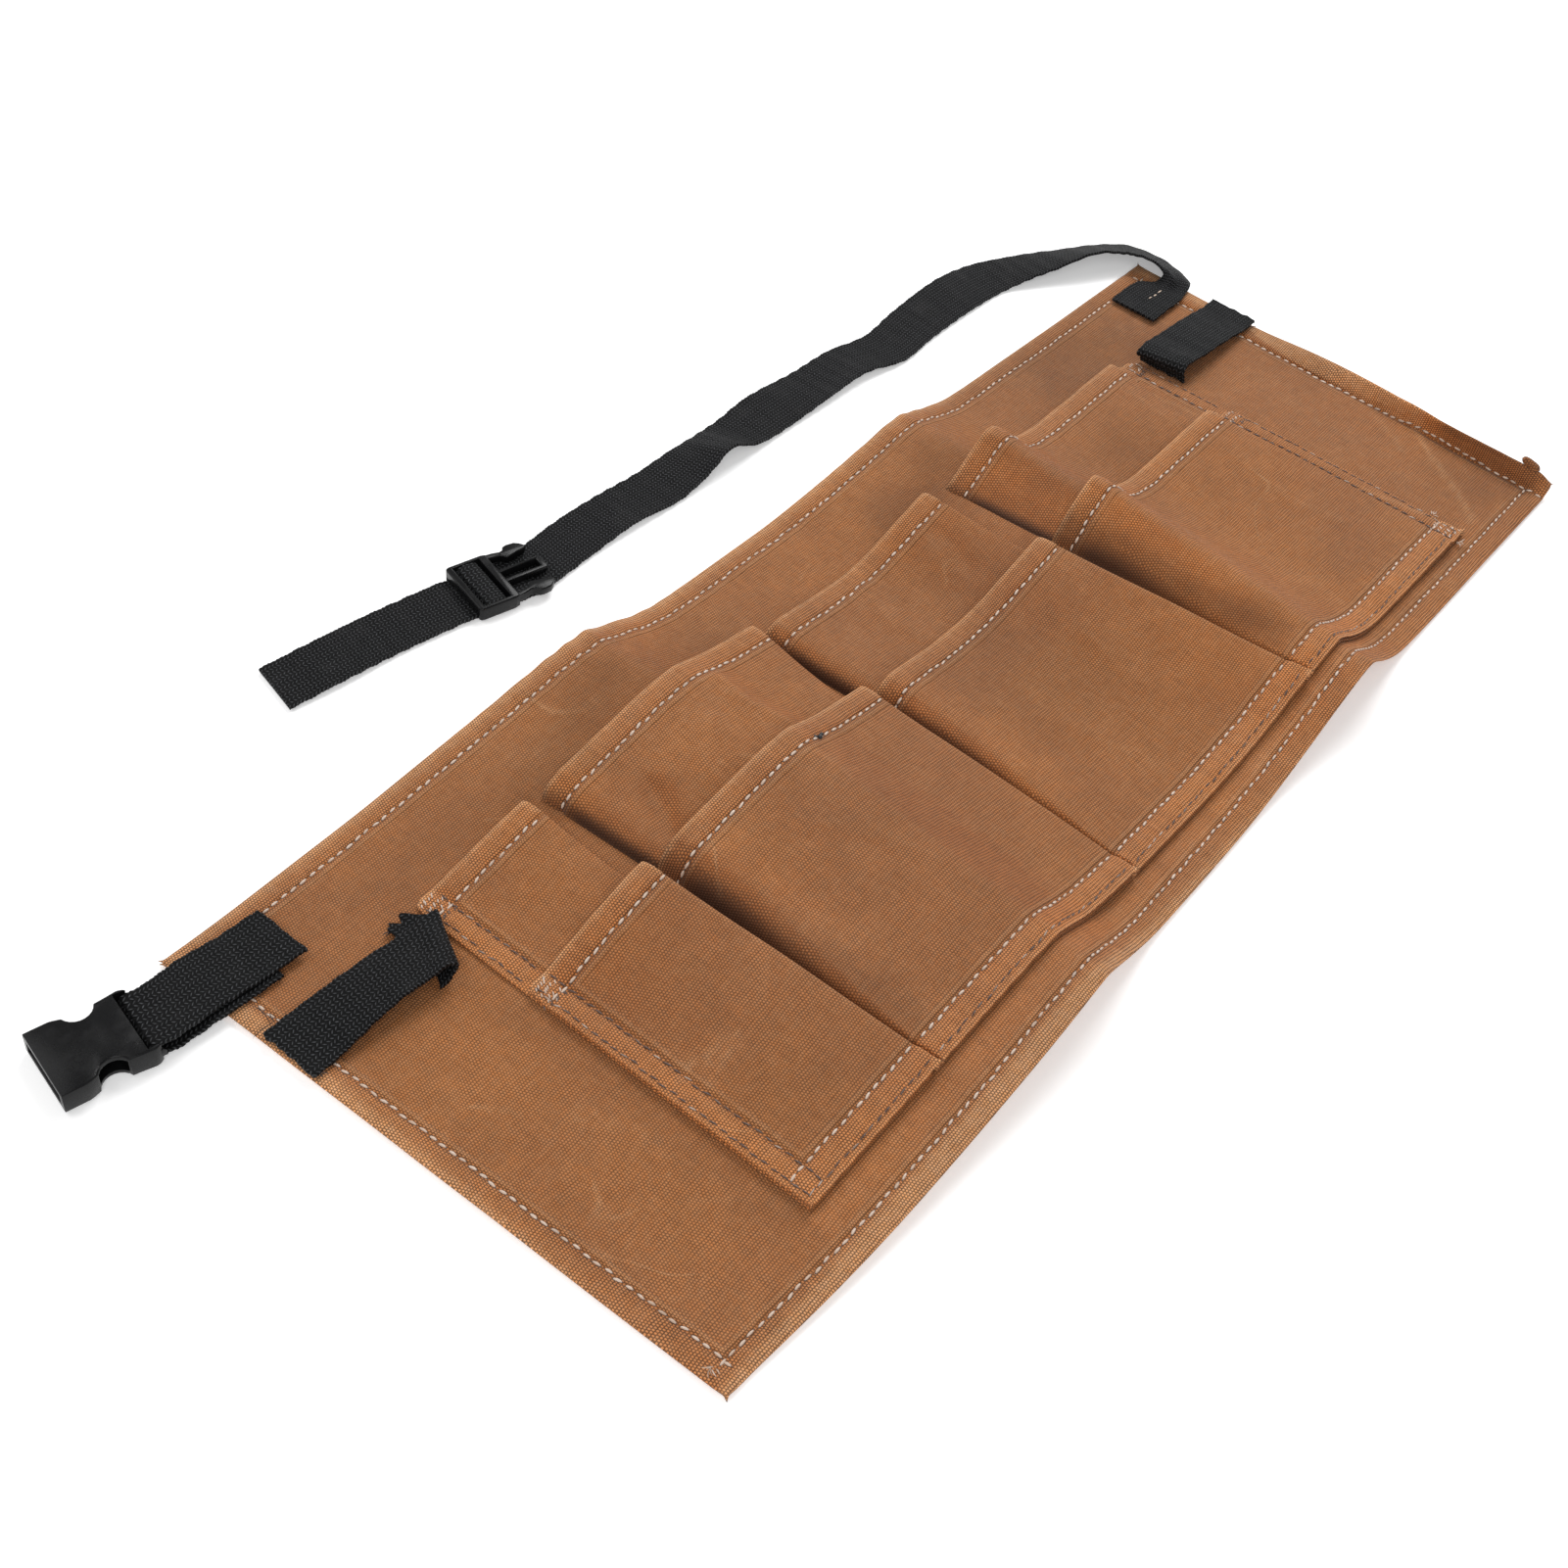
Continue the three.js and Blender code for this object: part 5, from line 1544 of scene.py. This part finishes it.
@dataclass
class Webbing:
    """A run of webbing along routes of rows x, y, z, turn, tilt and open width."""

    node: str
    routes: list[list[tuple[float, float, float, float, float, float]]]
    lies_on: list[Object]
    step: float = 0.75
    lanes: int = 10
    seed: int = 5
    rows: list[StitchRow] = field(default_factory=list)
    tufts: tuple = ()
    ragged: tuple = (0.0, 0.0)
    scraps: tuple = ()
    half_width: float = WEBBING_WIDTH / 2 - 0.15

    def stations(self) -> tuple[Array, Array, Array]:
        """Read the routes at even steps.

        Returns:
            The middle of the webbing, its width direction with the open share, and the
            distance along, in millimetres.
        """
        fine, angles = [], []
        for route in self.routes:
            table = np.array(route, float)
            shares = np.linspace(0, 1, 40 * (len(table) - 1) + 1)
            fine.append(spline(table[:, :3], shares, True))
            angles.append(spline(table[:, 3:], shares, False))
        centre, angle = np.concatenate(fine), np.concatenate(angles)
        gaps = np.linalg.norm(np.diff(centre, axis=0), axis=1)
        keep = np.concatenate([[True], gaps > 1e-6])
        centre, angle = centre[keep], angle[keep]
        reach = np.concatenate([[0], np.cumsum(np.linalg.norm(np.diff(centre, axis=0), axis=1))])
        at = np.linspace(0, reach[-1], int(round(reach[-1] / self.step)) + 1)
        centre = np.stack([np.interp(at, reach, centre[:, k]) for k in range(3)], 1)
        turn, tilt, width = (np.interp(at, reach, angle[:, k]) for k in range(3))
        turn, tilt = np.radians(turn), np.radians(tilt)
        across = np.stack([np.cos(tilt) * np.cos(turn), np.cos(tilt) * np.sin(turn),
                           np.sin(tilt)], 1)
        return centre, across * np.minimum(width, 1)[:, None], at

    def surface(self, centre: Array, across: Array, at: Array, lane: Array, k: Array) -> Array:
        """Lay the corners of a flat grid along the routes, with teeth, sag and torn ends.

        Args:
            centre: The middle of the webbing at each station.
            across: Its width direction there, with the open share.
            at: Distance of each station along it.
            lane: Place of each corner across it, from -1 to 1.
            k: Station of each corner.

        Returns:
            Rows of x, y, z in millimetres.
        """
        normal = np.cross(np.gradient(centre, axis=0), across)
        normal /= np.linalg.norm(normal, axis=1)[:, None]
        open_share, along = np.linalg.norm(across, axis=1)[k], at[k]
        weft = 0.2 * np.sin(along * 2 * math.pi / 1.9 + lane)
        wave = 0.13 * np.sin(along * 2 * math.pi / 7.3 + self.seed)
        teeth = np.sign(lane) * (weft + wave) * np.abs(lane) ** 8
        where = centre[k] + across[k] * (self.half_width * lane + teeth)[:, None]
        tuck = (1 - open_share) * eased((1 - np.abs(lane)) * 1.6)
        gather = 2.4 * tuck * np.sin(lane * 4.4 + along / 5)
        sag = 0.16 * np.sin(along / 19 + self.seed) * (1 - lane**2)
        ribs = 0.14 * np.sin(along / 1.5 + 2 * np.sin(along / 11))
        where += normal[k] * (gather + sag + ribs)[:, None]
        from_end = np.minimum(along, at[-1] - along) / 2.2
        torn = np.where(along < at[-1] / 2, *self.ragged) * np.exp(-from_end)
        torn *= ripple(lane * 12.5, along * 0, 5.0, self.seed)
        return where + np.gradient(centre, at, axis=0)[k] * torn[:, None]

    def build(self) -> Object:
        """Build the webbing.

        Returns:
            The run of webbing.
        """
        centre, across, at = self.stations()
        obj = grid(f"{self.node}_webbing", self.lanes, len(at) - 1)
        flat = np.array([v.co[:2] for v in obj.data.vertices])
        lane, k = flat[:, 0] * 2, np.rint((flat[:, 1] + 0.5) * (len(at) - 1)).astype(int)
        move_to(obj, self.surface(centre, across, at, lane, k))
        lay_yarns(obj, np.stack([self.half_width * lane, at[k]], 1))
        thicken(obj, WEBBING - 0.2, 0.32)
        obj.data.materials.append(Finishes.get(BlackWebbing))
        paint(obj, "rub", np.zeros(len(obj.data.vertices)))
        smooth(obj, 40)
        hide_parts(self.node)
        sewn = []
        if self.rows:
            sewn.append(Stitching(f"{self.node}_stitches", self.rows, seed=self.seed).build(obj))
        if self.tufts:
            sewn.append(Fray(f"{self.node}_loose_yarns", self.tufts, Thread.DARK, yarns=3,
                             seed=self.seed).build())
        sewn += [scrap.build() for scrap in self.scraps]
        for piece in sewn:
            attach(piece, "root")
        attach(obj, "root")
        LOG.info("%s: %.0f mm long, %d faces", obj.name, at[-1], len(obj.data.polygons))
        return obj


@dataclass
class Scrap:
    """A torn flap of webbing, spanned between four corners with its first edge ragged."""

    name: str
    corners: tuple
    seed: int = 2

    def build(self) -> Object:
        """Build the flap.

        Returns:
            The flap.
        """
        obj = grid(self.name, 14, 10)
        u, v = np.array([c.co[:2] for c in obj.data.vertices]).T + 0.5
        a, b, c, d = (np.array(corner, float) for corner in self.corners)
        near, far = a + np.outer(u, b - a), d + np.outer(u, c - d)
        torn = 0.16 * ripple(u * 9, u * 0, 2.6, self.seed) * (1 - v) ** 2
        where = near + (far - near) * (v + torn)[:, None]
        where[:, 2] += 0.5 * np.sin(u * 7 + 1) * (1 - v) + 0.25 * np.sin(v * 9)
        move_to(obj, where)
        lay_yarns(obj, where[:, :2])
        thicken(obj, 1.1, 0.25)
        with editing(obj):
            bpy.ops.mesh.normals_make_consistent(inside=False)
        obj.data.materials.append(Finishes.get(BlackWebbing))
        smooth(obj, 40)
        return obj


# Long strap: place along as a share of the panel's half width, distance beyond the waist
# edge and height in webbing widths, turn and tilt in degrees, and open share of its width
LONG_STRAP = (
    (0.871, -0.94, 0.15, -90, 0, 1), (0.925, -0.94, 0.155, -88, 0, 1),
    (0.947, -0.97, 0.165, -82, -2, 0.94), (0.967, -1.08, 0.195, -73, -9, 0.64),
    (0.984, -1.07, 0.26, -53, -21, 0.64), (0.995, -0.94, 0.28, -34, -29, 0.84),
    (1.003, -0.62, 0.29, -18, -29, 0.97), (1.0087, -0.32, 0.27, -7, -26.5, 1),
    (1.0077, -0.072, 0.255, 7, -24.5, 1), (1.0025, 0.22, 0.245, 27, -23, 1),
    (0.986, 0.43, 0.25, 45, -24, 1), (0.952, 0.7, 0.29, 57, -27, 1),
    (0.917, 0.93, 0.27, 63, -25, 1), (0.871, 1.25, 0.18, 68, -15, 1),
    (0.832, 1.5, 0.12, 72, -9, 1), (0.78, 1.77, 0.05, 82, 1, 1),
    (0.69, 1.84, 0.12, 89, 9, 1), (0.58, 1.83, 0.07, 92, 4, 1), (0.5, 1.76, 0.045, 90, 0, 1),
    (0.425, 1.94, 0.1, 87, -6, 1), (0.34, 1.97, 0.09, 89, -4, 1), (0.235, 1.99, 0.11, 90, 7, 1),
    (0.17, 2, 0.09, 90, -5, 1), (0.115, 2.02, 0.22, 90, -20, 1), (0.06, 2.02, 0.1, 90, -6, 1),
    (0, 2.01, 0.045, 90, 0, 1), (-0.08, 2.08, 0.08, 88, -4, 1), (-0.16, 2.1, 0.045, 87, 0, 1),
)

# Through the sliding frame: distance along it from its end bar, and height
THREADING = (
    (29.5, 1.15), (19.5, 1.15), (15.9, 1.25), (14.3, 1.6), (13.4, 2.9), (12.6, 4.7), (10.9, 5.6),
    (7.1, 5.6), (5.1, 4.7), (4.3, 2.9), (3, 1.5), (-1, 1.2), (-8, 1.15),
)

# Tool loops: share of the span from the panel's edge, lift and drift towards the waist
# in webbing widths, turn and tilt in degrees
LEFT_LOOP = (
    (0, 0.055, 0, 90, 0), (0.16, 0.06, 0, 89, 0), (0.36, 0.17, -0.02, 84, -7),
    (0.62, 0.27, -0.09, 74, -11), (0.8, 0.3, -0.17, 66, -9), (0.92, 0.36, -0.22, 62, -4),
    (0.965, 0.3, -0.24, 62, 0), (0.95, 0.18, -0.24, 62, 0),
    (0.9, 0.09, -0.24, 62, 0), (0.85, 0.06, -0.23, 62, 0),
)
RIGHT_LOOP = (
    (0, 0.12, 0, 90, 0), (0.13, 0.1, 0, 90, 0), (0.34, 0.22, 0, 90, 0), (0.58, 0.3, 0, 92, 0),
    (0.78, 0.33, 0.01, 95, 0), (0.94, 0.4, 0.01, 99, 0), (1.03, 0.37, 0.01, 102, 0),
    (1.045, 0.28, 0.01, 98, 0), (1.015, 0.17, 0, 91, 0), (1, 0.06, -0.02, 90, 0),
)
SOCKET = {"x": -1.0668 * HALF_WAIST, "y": WAIST_Y - 18, "heading": 167.0, "thick": 9.6}
FRAME = {"x": -0.355 * HALF_WAIST, "y": WAIST_Y + 2.32 * WEBBING_WIDTH, "heading": -14.8}
PATCH_Y = WAIST_Y - 22
LOOP_Y = WAIST_Y - 60


def long_strap_routes() -> list[list[tuple]]:
    """Routes of the long strap: from its patch to the frame, through it, and the free end."""
    loose = [(a * HALF_WAIST, WAIST_Y + out * WEBBING_WIDTH, lift * WEBBING_WIDTH, *rest)
             for a, out, lift, *rest in LONG_STRAP]
    c, s = math.cos(math.radians(FRAME["heading"])), math.sin(math.radians(FRAME["heading"]))
    threaded = [(FRAME["x"] + a * c, FRAME["y"] + a * s, h, 90 + FRAME["heading"], 0, 1)
                for a, h in THREADING]
    last, end = threaded[-1], (-0.634 * HALF_WAIST, WAIST_Y + 2.87 * WEBBING_WIDTH)
    tail = [(last[0] + (end[0] - last[0]) * u, last[1] + (end[1] - last[1]) * u + dy, 0.75 + dz,
             76.5, 0, 1) for u, dy, dz in ((0.35, 1, 0.3), (0.7, 0, 1.2), (1, 0, 0.3))]
    return [loose + threaded[:1], threaded, [last] + tail]


def short_strap_routes() -> list[list[tuple]]:
    """Routes of the short strap: over the patch, round the socket's bar and back beneath."""
    c, s = math.cos(math.radians(SOCKET["heading"])), math.sin(math.radians(SOCKET["heading"]))
    bar_radius, gap = 1.6, 0.4
    bar, reach, turn = SOCKET["thick"] / 2, bar_radius + gap + WEBBING / 2, SOCKET["heading"] - 90
    patch_x, edge_x = -HALF_WAIST + 36, -HALF_WAIST - 1
    seat = panel_top(patch_x, PATCH_Y) + HEM_FOLD + gap + WEBBING / 2
    upper = seat + WEBBING + gap

    def on_axis(along: float, z: float) -> tuple:
        """Place on the socket's own axis."""
        return (SOCKET["x"] + along * c, SOCKET["y"] + along * s, z, turn, 0, 1)

    loose = [(patch_x, PATCH_Y + 1.2, upper, 90, 0, 1),
             (patch_x - 20, PATCH_Y + 2.2, upper, 87, 0, 1),
             (edge_x + 4, PATCH_Y + 3.2, upper + 0.9, 84, 1, 1), on_axis(-6, bar + reach + gap),
             on_axis(-0.6, bar + reach)]
    wrap = [on_axis(reach * math.cos(math.radians(a)), bar + reach * math.sin(math.radians(a)))
            for a in (60, 30, 0, -30, -60)]
    under = [on_axis(-0.6, bar - reach), on_axis(-7, bar - reach + 0.2),
             (edge_x - 1, PATCH_Y + 1, seat + 0.1, 83, 0, 1),
             (edge_x + 8, PATCH_Y + 0.4, seat, 86, 0, 1),
             (patch_x - 12, PATCH_Y - 0.4, seat, 90, 0, 1)]
    return [loose, [loose[-1], *wrap, under[0]], under]


def loop_route(side: int, profile: Sequence[tuple]) -> list[tuple]:
    """Route of a tool loop.

    Args:
        side: -1 for the left loop and 1 for the right one.
        profile: Its table of rows.

    Returns:
        Rows x, y, z, turn, tilt and open width.
    """
    outer, inner = half_width(LOOP_Y) - 1, BLOCK_HALF + 0.4 + WEBBING
    hem = (HEM_WIDTH + 2.4) / (outer - inner)
    rows = []
    for span, lift, drift, turn, tilt in profile:
        x = side * (outer + (inner - outer) * span)
        seat = panel_top(x, LOOP_Y) + (HEM_FOLD if span < hem else 0)
        rows.append((x, LOOP_Y + drift * WEBBING_WIDTH, seat + lift * WEBBING_WIDTH, turn, tilt, 1))
    return rows


# Buckle


@dataclass
class Moulding:
    """One moulded half of the side-release buckle."""

    node: str
    rounding: float = 0.45
    rub: float = 0.35

    def build(self) -> Object:
        """Dress the half.

        Returns:
            The finished half.
        """
        obj = merged_copy(self.node, f"{self.node}_moulding")
        apply(obj, "BEVEL", width=self.rounding * MM, segments=3, limit_method="ANGLE",
              angle_limit=math.radians(50))
        paint(obj, "rub", np.full(len(obj.data.vertices), self.rub))
        obj.data.materials.append(Finishes.get(BuckleBlack))
        smooth(obj, 34)
        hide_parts(self.node)
        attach(obj, "root")
        LOG.info("%s: %d faces", obj.name, len(obj.data.polygons))
        return obj


# Studio


@dataclass
class Studio:
    """Pale floor, soft lights and the camera, high at a low corner."""

    eye: tuple[float, float, float] = (-544.3, -263.6, 568.6)
    azimuth: float = -57.43
    elevation: float = 46.92
    roll: float = 8.83
    lens: float = 47.2
    sky: float = 0.30
    lamps: tuple = (("key", (1.05, 0.45, 1.35), 0.9, 20.5), ("fill", (-0.7, 1.1, 1.3), 1.5, 11),
                    ("front", (-1.2, -0.9, 1.3), 1.3, 14))

    def floor(self) -> Object:
        """Build the pale floor.

        Returns:
            The floor.
        """
        bpy.ops.mesh.primitive_plane_add(size=9, location=(0, 0, -0.0006))
        floor = bpy.context.object
        floor.name = "floor"
        with editing(floor):
            bpy.ops.mesh.subdivide(number_cuts=3)
        material, g, shader = blank_material("pale_floor")
        g.plug(shader, {"Base Color": (0.93, 0.93, 0.93, 1), "Roughness": 0.9,
                        "Emission Color": (1, 1, 1, 1), "Emission Strength": 0.30,
                        "Specular IOR Level": 0.1})
        floor.data.materials.append(material)
        return floor

    def lamp(self, name: str, place: tuple, size: float, power: float) -> Object:
        """Add a square soft light that points at the middle of the belt.

        Args:
            name: Name of the light.
            place: Where it hangs, in metres.
            size: Length of its side, in metres.
            power: Its power in watts.

        Returns:
            The light.
        """
        data = bpy.data.lights.new(name, "AREA")
        data.size = size
        data.energy = power
        lamp = bpy.data.objects.new(name, data)
        bpy.context.collection.objects.link(lamp)
        lamp.location = place
        lamp.rotation_euler = (-Vector(place)).to_track_quat("-Z", "Y").to_euler()
        return lamp

    def build(self) -> None:
        """Build the floor, lights, sky and camera."""
        self.floor()
        for lamp in self.lamps:
            self.lamp(*lamp)
        world = bpy.data.worlds.new("sky")
        world.use_nodes = True
        background = world.node_tree.nodes["Background"].inputs
        background[0].default_value, background[1].default_value = (1, 1, 1, 1), self.sky
        bpy.context.scene.world = world
        data = bpy.data.cameras.new("camera")
        data.lens = self.lens
        data.sensor_width = 36
        camera = bpy.data.objects.new("camera", data)
        bpy.context.collection.objects.link(camera)
        a, e, r = (math.radians(v) for v in (self.azimuth, self.elevation, self.roll))
        back = Vector((math.sin(a) * math.cos(e), -math.cos(a) * math.cos(e), math.sin(e)))
        right = Vector((0, 0, 1)).cross(back).normalized()
        up = back.cross(right)
        right, up = (right * math.cos(r) + up * math.sin(r),
                     up * math.cos(r) - right * math.sin(r))
        turn = Matrix((right, up, back)).transposed().to_4x4()
        camera.matrix_world = Matrix.Translation(Vector(self.eye) * MM) @ turn
        bpy.context.scene.camera = camera
        bpy.context.scene.view_settings.view_transform = "Standard"


# Belt


@dataclass
class ToolBelt:
    """The whole belt."""

    columns: tuple[float, ...] = (68.5, 127.5, 125.0, 153.0)
    back_tips: tuple[float, ...] = (5, 4, 14, 22)
    front_tips: tuple[float, ...] = (4.5, 5.5, 10, 24)
    back_depth: float = 179.0
    front_depth: float = 125.0
    turned_in: tuple[float, float] = (16.0, 2.0)

    def build(self) -> None:
        """Build every piece of the belt."""
        panel = Panel(creases=PANEL_CREASES, tufts=PANEL_TUFTS).build()
        for front, tips, depth in ((False, self.back_tips, self.back_depth),
                                   (True, self.front_tips, self.front_depth)):
            for k, (width, tip) in enumerate(zip(self.columns, tips)):
                name = f"{'front' if front else 'back'}_pocket_{k + 1}"
                flat = (width + self.turned_in[0]) * MM, (depth + self.turned_in[1]) * MM
                Pocket(name, flat, [panel], column=k, front=front, tip=tip,
                       creases=POCKET_CREASES.get(name, ()),
                       tufts=POCKET_TUFTS.get(name, ())).build()
        patch = StitchRow([(281.5, 97.1), (298.0, 94.8)], pitch=4.2, length=3.8, width=0.75)
        Webbing("long_strap", long_strap_routes(), [panel], rows=[patch]).build()
        Webbing("short_strap", short_strap_routes(), [panel], seed=8, ragged=(0.35, 0.5)).build()
        flap = Scrap("left_loop_flap", ((-249.6, 74.6, 3.9), (-241.2, 75.2, 5.6),
                                        (-236.8, 67.0, 8.4), (-250.4, 65.0, 7.0)))
        Webbing("left_loop", [loop_route(-1, LEFT_LOOP)], [panel], seed=13, ragged=(0.5, 1.0),
                tufts=LEFT_LOOP_TUFTS, scraps=(flap,)).build()
        Webbing("right_loop", [loop_route(1, RIGHT_LOOP)], [panel], seed=21, ragged=(0.5, 0.8),
                tufts=RIGHT_LOOP_TUFTS).build()
        Moulding("male_buckle").build()
        Moulding("female_buckle").build()


def main() -> None:
    """Build the belt and the studio, and log the size of the belt's pieces."""
    logging.basicConfig(level=logging.INFO, format="%(message)s")
    ToolBelt().build()
    Studio().build()


if __name__ == "__main__":
    main()
